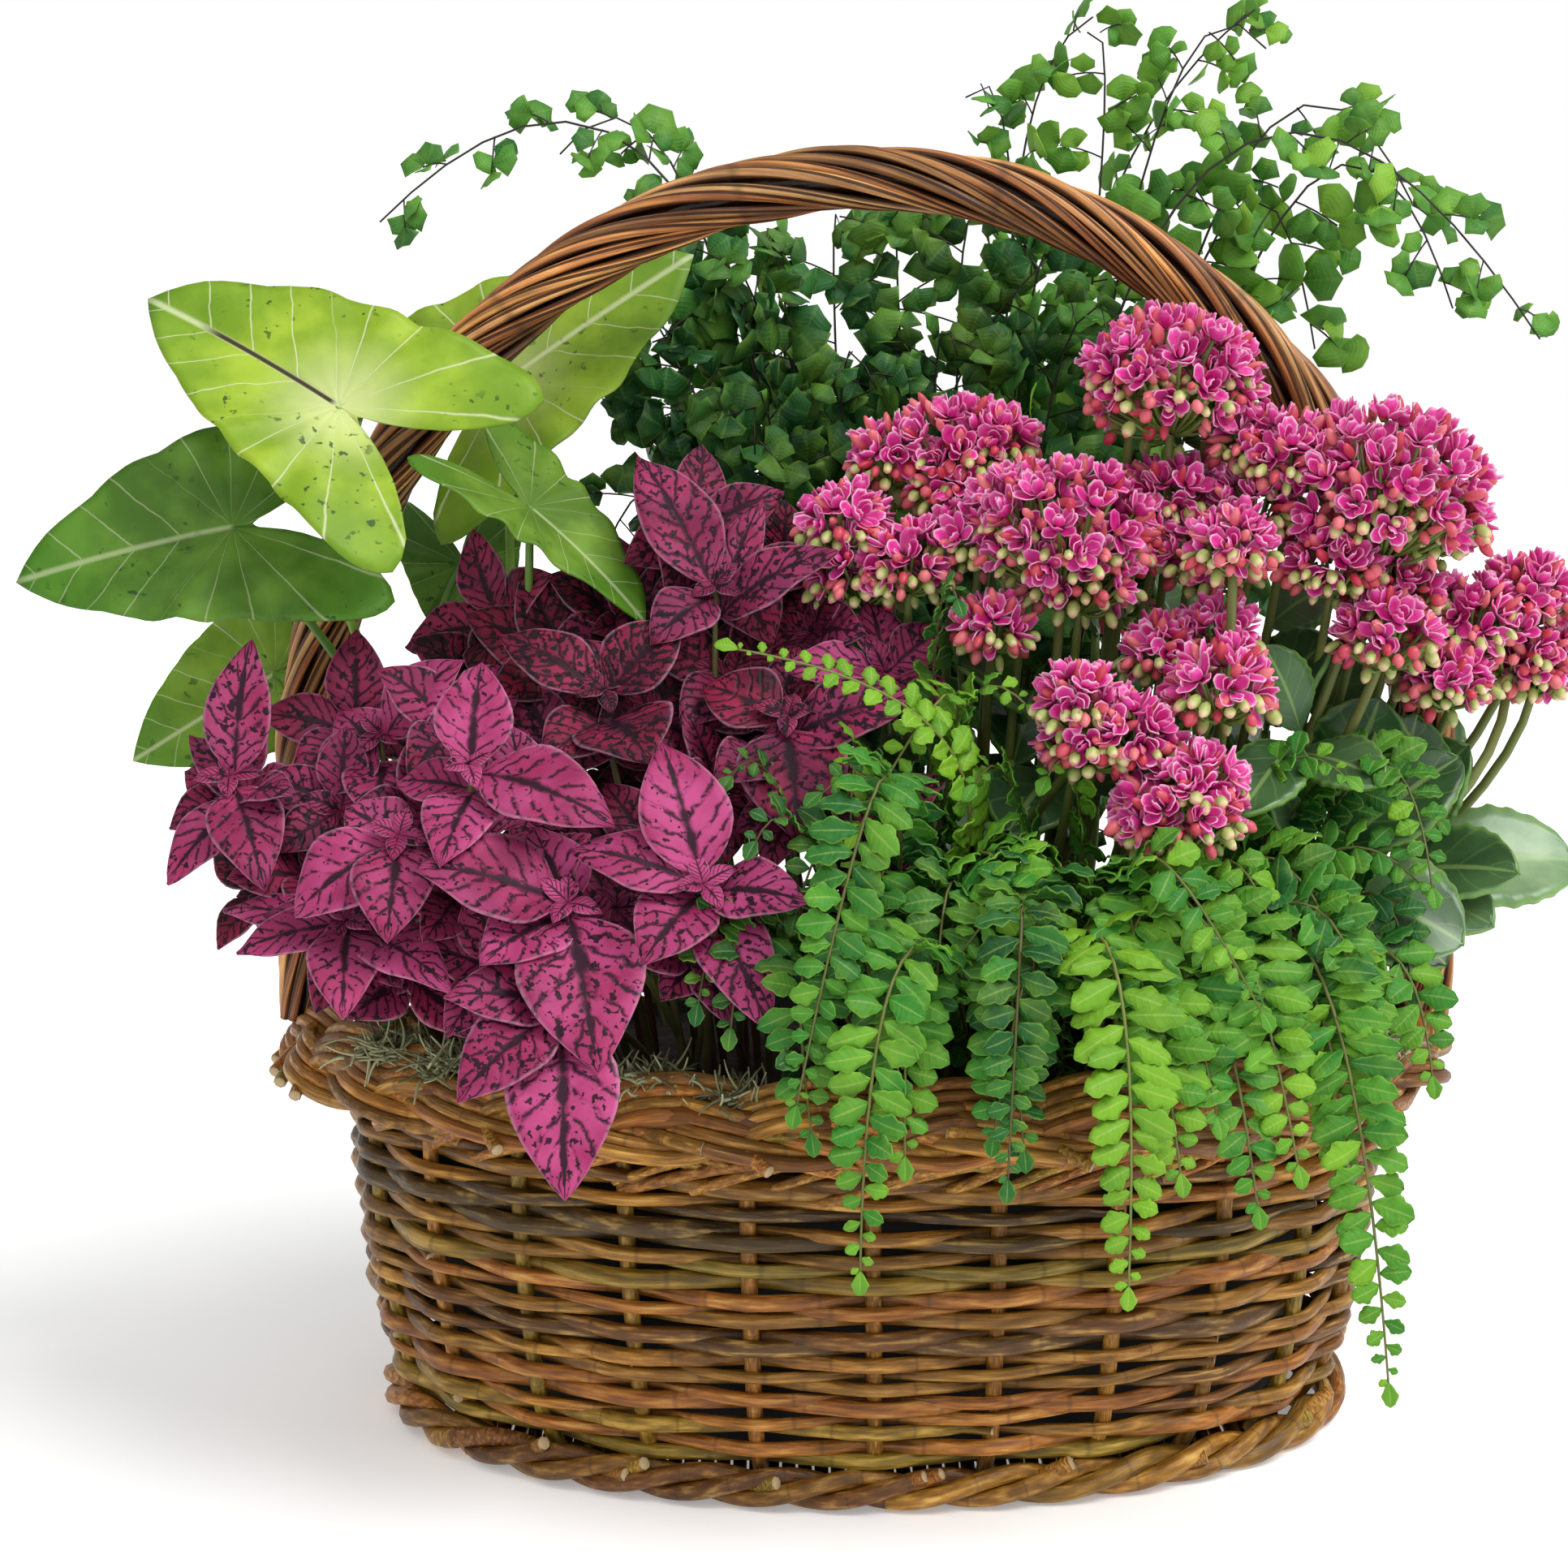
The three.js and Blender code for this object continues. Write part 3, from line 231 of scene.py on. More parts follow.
def leaves(base, tip, face, width, outline, rows, columns, arch=0.1, fold=0.2, wave=0.0, curl=0.0, phase=0.0):
    """Sheets from base to tip. A point lies at share u of the length and at v of the half width times the
    outline at u; the middle arches by 4 u (1 - u), and the edges fold up with |v| and wave along the length."""
    base, tip, face = (np.broadcast_to(np.asarray(a, float), np.broadcast_shapes(np.shape(base), np.shape(tip)))
                       for a in (base, tip, face))
    forward, normal, side, length = (a[:, None, None, :] for a in leaf_frame(base, tip, face))
    u = np.linspace(0, 1, rows)[None, :, None, None]
    v = np.linspace(-1, 1, columns)[None, None, :, None]
    half = np.broadcast_to(width, (len(base),))[:, None, None, None] / 2 * outline(u)
    phase = np.broadcast_to(phase, (len(base),))[:, None, None, None]
    ripple = wave * length * v**2 * np.sin(u * 17 + phase + v * 1.5)
    rise = arch * length * 4 * u * (1 - u) + fold * np.abs(v) ** 1.4 * half - curl * length * v**2 * u + ripple
    return base[:, None, None, :] + forward * length * u + side * half * v + normal * rise


def sheet_uv(rows, columns):
    """U runs along a leaf and V across it, with its midrib at one half."""
    return np.stack(np.meshgrid(np.linspace(0, 1, rows), np.linspace(0, 1, columns), indexing="ij"), -1)


# %% [markdown]
# ## Tools: following the CAD model's stems
# The CAD model lets each stem bow aside until it is clear of its neighbours. To stay on the same line, each
# stem here is worked out for the same set of bows, and the one whose points lie on the node's own corners is
# kept. Its root is the node's ring in the soil.

# %% Nodes of the CAD model
ROOT_Z = 90.0  # the CAD stems' lower ends, inside the soil
FOOT_Z_OF_STEMS = 96.0  # where stems and fronds that only the scene has begin, just under the soil's top
FOOT_Z_OF_FRONDS = 97.0
BENDS = (0, 6, -6, 12, -12, 20, -20, 30, -30)
LIFTS = (0, 10, -10, 22, -22, 36, -36)
SWINGS = (0, 10, -10, 20, -20, 32, -32, 45, -45, 60, -60)
FACE = unit(np.array([0, -0.7, 0.7]))  # leaves at the front look forwards and up
BACK_FACE = unit(np.array([0, 0.6, 0.8]))  # and those at the rear backwards and up


def numbered(name, table, digits=1):
    """The CAD nodes for a table's rows: the name and each row's number from 1."""
    return [f"{name}_{row + 1:0{digits}d}" for row in range(len(table))]


def corners_of(node):
    """The corners of a CAD node in millimetres."""
    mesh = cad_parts[node].data
    corners = np.empty(len(mesh.vertices) * 3, np.float32)
    mesh.vertices.foreach_get("co", corners)
    return np.unique(np.round(corners.reshape(-1, 3) / MM, 4), axis=0)


def root_of(corners):
    """The middle of the ring at the root, which stands in the soil at the same height for every stem."""
    return corners[np.abs(corners[:, 2] - ROOT_Z) < 0.01].mean(0)


print(len(BENDS) ** 2, "bows are tried for a stem,", len(LIFTS) * len(SWINGS), "turns for a leaf")


# %% Stem curves
def stem_curve(root, middle, top):
    """A cubic curve that leaves the root straight up, passes the middle half way and ends at the top: its
    second handle is (8 middle - root - 3 above - top) / 3."""
    root, middle, top = (np.asarray(a, float) for a in (root, middle, top))
    rise = max(30.0, 0.4 * (max(middle[2], top[2]) - root[2]))
    above = root + [0, 0, rise]
    bend = (8 * middle - root - 3 * above - top) / 3
    t = np.linspace(0, 1, 201)[:, None]
    return (1 - t) ** 3 * root + 3 * (1 - t) ** 2 * t * above + 3 * (1 - t) * t**2 * bend + t**3 * top


def arching(root, middle, top):
    """A curve of the second degree that passes the middle half way. Its handle is twice the middle less half of
    root plus top."""
    root, middle, top = (np.asarray(a, float) for a in (root, middle, top))
    t = np.linspace(0, 1, 201)[:, None]
    return (1 - t) ** 2 * root + 2 * (1 - t) * t * (2 * middle - (root + top) / 2) + t**2 * top


def along(curve, shares):
    """Points of a curve at shares of its length."""
    steps = np.r_[0, np.cumsum(np.linalg.norm(np.diff(curve, axis=0), axis=1))]
    at = np.asarray(shares) * steps[-1]
    return np.stack([np.interp(at, steps, curve[:, axis]) for axis in range(3)], -1)


# %% Finding the CAD model's curve
def nearest(points, corners):
    """Distance of each point to its nearest corner."""
    return np.linalg.norm(points[:, None] - corners[None], axis=-1).min(1)


def followed_stem(corners, top, bow, radius, steps=4):
    """Of the curves that the stem may take, the one whose inner rings lie at the stem's radius."""
    root = root_of(corners)
    inner = np.arange(1, steps) / steps
    middle = (root + top) / 2 + bow
    curves = [stem_curve(root, middle + [across, deep, 0], top) for across in BENDS for deep in BENDS]
    misses = [np.abs(nearest(along(curve, inner), corners) - radius).sum() for curve in curves]
    return curves[int(np.argmin(misses))], min(misses)


def followed_tip(corners, base, tip, face):
    """Of the tips that a leaf may take, swung aside and lifted about its base, the one that is a corner."""
    forward, normal, side, length = leaf_frame(base, tip, face)
    tips = []
    for lift in np.radians(LIFTS):
        for swing in np.radians(SWINGS):
            turned = forward * np.cos(swing) * np.cos(lift) + side * np.sin(swing) * np.cos(lift)
            tips.append(base + (turned + normal * np.sin(lift)) * length)
    tips = np.array(tips)
    misses = nearest(tips, corners)
    return tips[int(np.argmin(misses))], misses.min()


# %% [markdown]
# ## Tools: finishes
# A finish is a small graph of nodes. The class below only saves writing: each method adds one node and gives
# back its output, so a finish reads as a few lines of sums. Patterns that run along a leaf or a rod read its
# own UV map; blotches and specks read Object coordinates, because they pay no heed to the shape.

# %% Sums inside a finish
class Value:
    """An output inside a finish. Adding to it, taking from it or multiplying it puts in the Math node that does
    so, and a pattern can be written as its formula."""

    def __init__(self, finish, socket):
        self.finish, self.socket = finish, socket

    def __add__(self, other):
        return self.finish.maths("ADD", self, other)

    def __radd__(self, other):
        return self.finish.maths("ADD", other, self)

    def __sub__(self, other):
        return self.finish.maths("SUBTRACT", self, other)

    def __rsub__(self, other):
        return self.finish.maths("SUBTRACT", other, self)

    def __mul__(self, other):
        return self.finish.maths("MULTIPLY", self, other)


# %% Finishes
class Finish:
    def __init__(self, name):
        self.material = bpy.data.materials.new(name)
        self.material.use_nodes = True
        self.tree = self.material.node_tree
        self.tree.nodes.clear()

    def node(self, kind, inputs=(), **settings):
        """Adds a node, sets it and feeds its inputs, which are numbers or other nodes' outputs."""
        made = self.tree.nodes.new(kind)
        for key, value in settings.items():
            setattr(made, key, value)
        for key, value in dict(inputs).items():
            if isinstance(value, Value):
                self.tree.links.new(value.socket, made.inputs[key])
            else:
                made.inputs[key].default_value = value
        return made

    def value(self, kind, inputs=(), output=0, **settings):
        """Adds a node and gives one of its outputs."""
        return Value(self, self.node(kind, inputs, **settings).outputs[output])

    def place(self):
        return self.value("ShaderNodeTexCoord", output="Object")

    def uv(self):
        """U and V as two numbers."""
        split = self.node("ShaderNodeSeparateXYZ", {0: self.value("ShaderNodeUVMap", uv_map="UVMap")})
        return Value(self, split.outputs[0]), Value(self, split.outputs[1])

    def tint(self):
        """The three numbers of the point's tint."""
        tint = self.value("ShaderNodeAttribute", output="Color", attribute_name="tint")
        return [Value(self, output) for output in self.node("ShaderNodeSeparateColor", {0: tint}).outputs]

    def maths(self, operation, a, b=0.0):
        return self.value("ShaderNodeMath", {0: a, 1: b}, operation=operation)

    def ramp(self, value, low, high):
        """Rises smoothly from 0 where the value is low to 1 where it is high."""
        return self.value("ShaderNodeMapRange", {"Value": value, "From Min": low, "From Max": high},
                          interpolation_type="SMOOTHSTEP")

    def noise(self, scale, detail=3.0, vector=None):
        inputs = {"Vector": vector or self.place(), "Scale": scale, "Detail": detail}
        return self.value("ShaderNodeTexNoise", inputs, output="Fac")

    def mix(self, share, a, b, blend="MIX"):
        """From colour a to colour b as the share goes from 0 to 1; a colour may be a hex text."""
        a, b = (colour(c) if isinstance(c, str) else c for c in (a, b))
        return self.value("ShaderNodeMix", {0: share, 6: a, 7: b}, output=2, data_type="RGBA", blend_type=blend)

    def colours(self, value, stops):
        """A colour from a row of stops: [share, colour]."""
        made = self.node("ShaderNodeValToRGB", {0: value})
        ramp = made.color_ramp
        while len(ramp.elements) < len(stops):
            ramp.elements.new(0.5)
        for element, (share, shade) in zip(ramp.elements, stops):
            element.position, element.color = share, colour(shade)
        return Value(self, made.outputs[0])

    def comb(self, value, width):
        """One on evenly spaced lines, one to each whole number, fading to nothing within the width."""
        off = self.maths("ABSOLUTE", self.maths("FRACT", value) - 0.5)
        return self.ramp(off, 0.5 - width, 0.5)

    def off_middle(self, v):
        """0 on a leaf's midrib, where V is one half, and 1 on its two edges."""
        return self.maths("ABSOLUTE", v - 0.5) * 2.0

    def done(self, base, roughness, height=None, bump=0.3, distance=0.001, **constants):
        """The shader: colour, roughness, relief where a height is given, and constants by socket."""
        inputs = {"Base Color": base, "Roughness": roughness, **constants}
        if height is not None:
            relief = {"Height": height, "Strength": bump, "Distance": distance}
            inputs["Normal"] = self.value("ShaderNodeBump", relief)
        self.node("ShaderNodeOutputMaterial", {0: self.value("ShaderNodeBsdfPrincipled", inputs)})
        print(f"finish {self.material.name}: {len(self.tree.nodes)} nodes")
        return self.material


# %% The floor's finish
def floor_finish():
    finish = Finish("pale_floor")
    base = finish.mix(finish.noise(3.0), "#f6f6f6", "#fbfbfb")
    return finish.done(base, 0.9, **{"Emission Color": (1, 1, 1, 1), "Emission Strength": 0.27})


floor_mesh = bpy.data.meshes.new("floor")
floor_mesh.from_pydata([(-4, -3, 0), (4, -3, 0), (4, 5, 0), (-4, 5, 0)], [], [(0, 1, 2, 3)])
floor_mesh.materials.append(floor_finish())
floor = bpy.data.objects.new("floor", floor_mesh)
bpy.context.scene.collection.objects.link(floor)

# %% [markdown]
# ## Willow
# Willow rods keep their thin bark: olive-ochre, brown, rust and grey-brown rods come mixed in one bundle. The
# colour is the rod's own, from its tint, with darker blotches along it, fine streaks, and pale wood where it
# was cut; in the weave the tint also holds painted shade where a rod goes behind its neighbours. The streaks
# could be a picture, but noise stretched along the rod never repeats and never blurs. Bark is satin, not
# glossy. The handle's rods are paler, and painted shade on their flanks darkens the grooves between them.

# %% Willow finish
WILLOW_STOPS = [
    (0.0, "#6e5a16"), (0.14, "#a08428"), (0.3, "#96651f"), (0.46, "#a67428"),
    (0.62, "#b8702a"), (0.76, "#7a4c1c"), (0.88, "#55401f"), (1.0, "#978030"),
]


def willow_finish(name, stops, roughness=0.38, gain=0.9, painted_groove_shade=0.0):
    """Bark colour from the tint's first number, lighter or darker by its second, cut wood where the third is 1.
    In the weave the second number also holds painted shade. Streaks run along the rod: they are noise on U and
    on the cosine and sine of V, so that they close round it. The painted groove shade darkens the rod's flanks,
    where
    V is a quarter or more away from its outer side: painted shade between neighbouring rods."""
    finish = Finish(name)
    kind, light, cut = finish.tint()
    u, v = finish.uv()
    turn = v * TURN
    grain = finish.value("ShaderNodeCombineXYZ", {
        0: u * 26.0, 1: finish.maths("COSINE", turn) * 1.3, 2: finish.maths("SINE", turn) * 1.3 + kind * 40.0})
    streak = finish.noise(1.0, 5.0, grain)
    bark = finish.colours(kind, stops)
    bark = finish.mix(finish.ramp(streak, 0.62, 0.3), bark, finish.mix(0.62, bark, "#2a180c"))
    bark = finish.mix(finish.ramp(streak, 0.5, 0.8) * 0.7, bark, "#d8b060")
    blotch = finish.ramp(finish.noise(60.0, 4.0), 0.42, 0.7)
    bark = finish.mix(blotch * 0.4, bark, finish.mix(0.6, bark, "#3a2412"))
    knot = finish.comb(u * 9.0, 0.035)
    bark = finish.mix(knot * 0.4, bark, "#3d2a18")
    # Painted shade on the rod's flanks, darkest in the grooves between neighbouring rods
    painted_flank_shade = finish.ramp(finish.maths("COSINE", turn), 0.75, 0.05) * painted_groove_shade
    bark = finish.mix(painted_flank_shade, bark, "#2c140a")
    level = light * gain + 0.5
    grey = finish.value("ShaderNodeCombineColor", {0: level, 1: level, 2: level})
    bark = finish.mix(1.0, bark, grey, blend="MULTIPLY")
    wood = finish.mix(finish.noise(1500.0), "#c9a878", "#e6cfa4")
    base = finish.mix(finish.ramp(cut, 0.4, 0.6), bark, wood)
    return finish.done(base, roughness, streak, 0.7, 0.0012, **{"Specular IOR Level": 0.35})


willow = willow_finish("willow_bark", WILLOW_STOPS)
willow_handle = willow_finish("handle_bark", [
    (0.0, "#c08048"), (0.35, "#9a5a30"), (0.6, "#dca86c"), (0.8, "#74421c"), (1.0, "#cc9254")], 0.3, 1.7, 0.9)


# %% Rods with cut ends
def rods(bundle, paths, radius, sides, toward, kinds, cut=True):
    """Willow rods: tubes with a small pale face at each end, just inside the rim of the cut."""
    count, rows, _ = paths.shape
    radius = np.broadcast_to(radius, (count, rows))
    tint = np.zeros((count, rows, sides, 3))
    tint[..., :2] = kinds[:, None, None, :] if kinds.ndim == 2 else kinds[:, :, None, :]
    bundle.add_tubes(paths, radius, sides, toward, tint, caps=False)
    if not cut:
        return
    step = unit(np.gradient(paths, axis=1))
    toward = np.broadcast_to(toward, paths.shape)
    for end, hand in ((0, -1), (rows - 1, 1)):
        outer = paths[:, end]
        way = step[:, end] * hand
        disc = np.stack([outer - way * 0.6, outer, outer + way * 0.25, outer + way * 0.3], 1)
        size = radius[:, end, None] * np.array([[0.97, 0.93, 0.85, 0.05]])
        grid = tubes(disc, size, sides, toward[:, end][:, None, :])
        mark = np.ones((count, 4, sides, 3)) * [0.5, 0.5, 1.0]
        bundle.add(grid, tube_uv(4, sides), mark, closed=True, caps=True)


def kinds_of(count, low=0.0, high=1.0):
    """Random bark for each rod: which colour, and how light."""
    return np.stack([rng.uniform(low, high, count), rng.uniform(0.25, 1.0, count)], -1)


# %% [markdown]
# ## The woven wall
# Upright stakes stand round the oval, and rods weave in front of one stake and behind the next. The row above
# goes the other way, so each stake shows as short pieces between every second row, and each rod shows as a
# long leaf shape that dives behind its neighbours. That is a cosine along the oval whose sign changes from
# row to row. Rods thin from butt to tip and are renewed every few stakes, always on the inside.

# %% The oval
STAKES = 24
ROW_LOW_Z, ROW_PITCH, ROWS = 14.2, 3.68, 25
WALL_LOW_AXES, WALL_HIGH_AXES = np.array([142.5, 101.5]), np.array([152.0, 112.0])
WALL_BELLY = 2.8
WAVE = 3.0  # how far a rod swings out and in
ROD = 2.25
WEAVE_DEPTH = ROD + WAVE - 1.3  # from the wall's outside to the middle of the stakes

table_angle = np.linspace(0, TURN, 721)
table_length = np.r_[0, np.cumsum(np.hypot(*np.diff(
    np.stack([147 * np.cos(table_angle), 106 * np.sin(table_angle)]), axis=1)))]


def angle_at(share):
    """The oval's angle at a share of its way round."""
    return np.interp(np.mod(share, 1.0) * table_length[-1], table_length, table_angle) + TURN * np.floor(share)


def oval(axes, angle, outward, z):
    """The point of an ellipse at an angle, moved out along its normal, at height z."""
    a, b = axes[..., 0], axes[..., 1]
    slope = np.hypot(b * np.cos(angle), a * np.sin(angle))
    x = a * np.cos(angle) + outward * b * np.cos(angle) / slope
    y = b * np.sin(angle) + outward * a * np.sin(angle) / slope
    return np.stack([x, y, np.broadcast_to(z, x.shape)], -1)


def wall(share, z, outward):
    """A point of the wall: the oval grows from the lowest row to the highest, with a slight belly."""
    height = (z - 17) / 84
    low_curve = np.minimum(0, z - 19) * 0.55
    axes = WALL_LOW_AXES + (WALL_HIGH_AXES - WALL_LOW_AXES) * height[..., None]
    belly = WALL_BELLY * np.sin(np.pi * np.clip(height, 0, 1))
    return oval(axes, angle_at(share), outward + belly + low_curve - WEAVE_DEPTH, z)


print("the oval is", round(table_length[-1]), "mm round")


# %% Stakes
def stakes(bundle):
    """One rod at each place, from the foot to the border, which follows the wall's own curve."""
    z = np.linspace(6, 108, 14)[None, :] + np.zeros((STAKES, 1))
    share = np.arange(STAKES)[:, None] / STAKES + rng.normal(0, 0.0006, (STAKES, 1)) * (z - 50) / 50
    path = wall(share, z, np.zeros_like(z))
    rods(bundle, path, 2.35, 8, np.array([0.01, 0.0, 0.0]) + unit(path * [1, 1, 0]), kinds_of(STAKES, 0.1, 0.6))


# %% Weavers
def weavers(bundle):
    """Each row is cut into rods of six, eight or ten bays that begin and end behind a stake. A rod's distance
    from the wall is the cosine of the bays that it has passed, sharpened by a power of one and a half."""
    starts, spans, levels = [], [], []
    for row in range(ROWS):
        cuts = [(8, 10, 6), (6, 8, 10), (10, 6, 8), (8, 8, 8)][rng.integers(4)]
        start = 2 * int(rng.integers(12)) + (row + 1) % 2
        for bays in cuts:
            starts.append(start)
            spans.append(bays)
            levels.append(row)
            start += bays
    starts, spans, levels = (np.array(a, float)[:, None] for a in (starts, spans, levels))
    t = np.linspace(0, 1, 81)[None, :]
    bay = starts + spans * t
    swing = np.cos(np.pi * (bay + levels))
    drift = 0.9 * np.sin(bay * 0.9 + levels * 2.1) + 0.7 * np.sin(bay * 0.37 + levels * 1.3)
    z = ROW_LOW_Z + ROW_PITCH * levels + drift + rng.normal(0, 0.3, starts.shape)
    z = z + rng.normal(0, 1.1, starts.shape) * (t - 0.5)
    share = bay / STAKES
    poke = (rng.uniform(size=starts.shape) < 0.4) * np.clip((t - 0.96) / 0.04, 0, 1) * 5.5
    path = wall(share, z, WAVE * np.sign(swing) * np.abs(swing) ** 1.5 + poke)
    butt = rng.choice([-1, 1], starts.shape)
    radius = (ROD + rng.normal(0, 0.3, starts.shape)) * (1 + 0.2 * butt * (0.5 - t) * 2)
    radius = radius * (1 - 0.35 * np.clip((np.abs(t - 0.5) - 0.44) / 0.06, 0, 1))
    kinds = np.repeat(kinds_of(len(starts))[:, None], t.shape[1], 1)
    kinds[..., 1] *= 0.3 + 0.7 * np.clip(0.55 + 0.8 * swing, 0, 1)  # painted shade where a rod goes behind its neighbours
    rods(bundle, path, radius, 8, UP, kinds)


weave = Bundle()
stakes(weave)
weavers(weave)
print(STAKES, "stakes and", ROWS, "rows of weavers")

# %% [markdown]
# ## The woven base
# The bottom of the basket is closed by rods laid side by side from edge to edge, and a few that cross them.
# It only shows from below, so rods in a row that rise and fall like a coarse weave are enough.

# %% The base
BASE_RODS, BASE_Z = 53, 3.6


def woven_floor(bundle):
    """Rods laid side by side across the oval, between the stakes' ends; they only show from below."""
    x = np.linspace(-118, 118, BASE_RODS)[:, None]
    half = 86 * np.sqrt(1 - (x / 127) ** 2)
    t = np.linspace(-1, 1, 17)[None, :]
    swing = np.cos(np.pi * (t * half / 14 + np.arange(BASE_RODS)[:, None]))
    path = np.stack([x + 0 * t, half * t, BASE_Z + 1.2 * swing], -1)
    rods(bundle, path, 2.2, 6, UP, kinds_of(BASE_RODS), cut=False)
    y = np.linspace(-60, 60, 5)[:, None]
    length = 124 * np.sqrt(1 - (y / 88) ** 2)
    path = np.stack([length * t, y + 0 * t, BASE_Z + 0 * t * y], -1)
    rods(bundle, path, 2.4, 6, UP, kinds_of(len(y)), cut=False)


woven_floor(weave)
weave.piece("woven_willow_wall", willow, "willow_weave", ["basket_weave"])

# %% [markdown]
# ## Foot
# Thick rods are twisted round the bottom edge to make a foot that the basket stands on, and the pale ends of
# the stakes poke out of it. A real foot is three rods that pass over each other in turn. Three rods turned
# about one middle line, like a rope, give the same look with one formula.

# %% Foot
FOOT_AXES = np.array([138.8, 98.2])
FOOT_Z, FOOT_TURNS = 6.3, 12
FOOT_ROD, FOOT_PIECES = 2.75, 7  # each strand is several rods, end to end


def foot():
    """Rope of three rods: each runs round the oval and turns about its middle line as it goes."""
    bundle = Bundle()
    for strand in range(3):
        start = np.sort(rng.uniform(0, 1, FOOT_PIECES))
        span = np.diff(np.r_[start, start[0] + 1])
        share = start[:, None] + span[:, None] * np.linspace(0, 1, 90)[None, :]
        turn = TURN * (FOOT_TURNS * share + strand / 3)
        path = oval(FOOT_AXES, angle_at(share), 2.9 * np.cos(turn), FOOT_Z + 3.1 * np.sin(turn))
        radius = FOOT_ROD + rng.normal(0, 0.12, (FOOT_PIECES, 1))
        rods(bundle, path, radius, 8, UP, kinds_of(FOOT_PIECES, 0.2, 0.8))
    # Stake ends that poke out, most of them along the front
    share = np.sort(np.r_[rng.uniform(0, 1, 8), 0.645, 0.652, 0.7, 0.752, 0.758, 0.805, 0.86, 0.93])[:, None]
    count = len(share)
    t = np.linspace(0, 1, 6)[None, :]
    rise = rng.uniform(2, 8, (count, 1))
    path = oval(FOOT_AXES, angle_at(share + 0.016 * t), -2.5 + 6.4 * t, 4.5 + rise * t)
    rods(bundle, path, rng.uniform(1.7, 2.5, (count, 1)), 8, UP, kinds_of(count, 0.1, 0.8))
    return bundle.piece("twisted_foot", willow, "willow_foot", ["basket_foot"])


foot()

# %% [markdown]
# ## Border
# Above the last row the stakes are bent down and plaited into a thick rim that leans outwards. It is three
# flat strands of four rods that cross in front and behind. A sine across the rim's face and a sine of twice
# that angle in and out draw exactly that path, and a thick core, given the darkest tint as painted shade,
# hides the view through the plait. Rods from the plait are tucked slanting into the wall below it, and a few
# cut ends stick out.

# %% The plait's measures
BORDER_AXES = np.array([163.5, 122.0])
BORDER_Z, PLAIT_TURNS = 113.6, 8
PLAIT_LEAN = 0.62  # how far the plait's face looks up, in radians
PLAIT_ACROSS, PLAIT_DEEP = 5.6, 3.4  # how far a strand swings across the face and out of it
PLAIT_ROD, PLAIT_SPACE, PLAIT_CORE = 1.95, 3.5, 4.2


def out_of(angle, axes):
    """Outward level direction of the oval at an angle."""
    return unit(np.stack([np.cos(angle) / axes[0], np.sin(angle) / axes[1], 0 * angle], -1))


# %% Border
def border():
    """Plait of three strands. A strand's middle swings across the plait's face as the sine of its angle and in
    and out as the sine of twice that angle; its four rods lie side by side across its own direction."""
    bundle = Bundle()
    pieces, rows = 7, 84
    for strand in range(3):
        for rod in range(4):
            edges = np.sort(rng.uniform(0, 1, pieces))
            span = np.diff(np.r_[edges, edges[0] + 1])
            share = edges[:, None] + span[:, None] * np.linspace(0, 1, rows)[None, :]
            angle = angle_at(share)
            outward = out_of(angle, BORDER_AXES)
            face = outward * np.cos(PLAIT_LEAN) + UP * np.sin(PLAIT_LEAN)
            across = -outward * np.sin(PLAIT_LEAN) + UP * np.cos(PLAIT_LEAN)
            phase = TURN * (PLAIT_TURNS * share + strand / 3)
            middle = oval(BORDER_AXES, angle, 0 * angle, BORDER_Z)
            middle = (middle + across * (PLAIT_ACROSS * np.sin(phase))[..., None]
                      + face * (PLAIT_DEEP * np.sin(2 * phase))[..., None])
            way = unit(np.gradient(middle, axis=1))
            beside = unit(np.cross(face, way))
            path = middle + beside * (rod - 1.5) * PLAIT_SPACE + face * 0.5 * np.sin(phase * 3 + rod)[..., None]
            radius = PLAIT_ROD + rng.normal(0, 0.1, (pieces, 1))
            rods(bundle, path, radius, 8, face, kinds_of(pieces, 0.3, 0.72))
    share = np.linspace(0, 1, 161)[None, :]
    core = oval(BORDER_AXES, angle_at(share), 0 * share, BORDER_Z)
    core = np.concatenate([core[:, :-1], core[:, :1]], 1)
    # The core gets the darkest tint: painted shade where it shows between the strands
    rods(bundle, core, PLAIT_CORE, 10, UP, np.array([[0.62, 0.0]]), cut=False)
    # Rods tucked into the wall: their way round, how many, their upper and lower ends, how far they stand out
    for hand, count, top, low, lift in ((1, 66, 111, 97, 1.4), (-1, 54, 106, 91, 0.0)):
        share = (np.arange(count)[:, None] + rng.uniform(-0.3, 0.3, (count, 1))) / count
        t = np.linspace(0, 1, 24)[None, :]
        z = top + (low - top) * t + rng.normal(0, 1.0, (count, 1)) + 2.5 * np.sin(np.pi * t)
        flare = 9.5 * np.clip((z - 97) / 14, 0, 1) ** 1.3 + lift - 3.5 * np.clip((t - 0.85) / 0.15, 0, 1)
        span = rng.uniform(0.055, 0.08, (count, 1))
        path = wall(share + hand * span * t, z, flare + WEAVE_DEPTH + 0.6)
        radius = rng.uniform(1.6, 2.1, (count, 1)) * (1.1 - 0.35 * t)
        rods(bundle, path, radius, 8, UP, kinds_of(count, 0.1, 0.72))
    # Cut ends that stick out, several of them at the left end
    share = np.array([0.02, 0.11, 0.28, 0.41, 0.485, 0.5, 0.513, 0.53, 0.62, 0.7, 0.79, 0.9])[:, None]
    t = np.linspace(0, 1, 7)[None, :]
    path = oval(BORDER_AXES, angle_at(share + 0.02 * t), -2 + 12.5 * t, BORDER_Z - 1 - 9 * t)
    rods(bundle, path, 1.9, 8, UP, kinds_of(len(share), 0.1, 0.7))
    return bundle.piece("plaited_border", willow, "willow_border", ["basket_border"])


border()
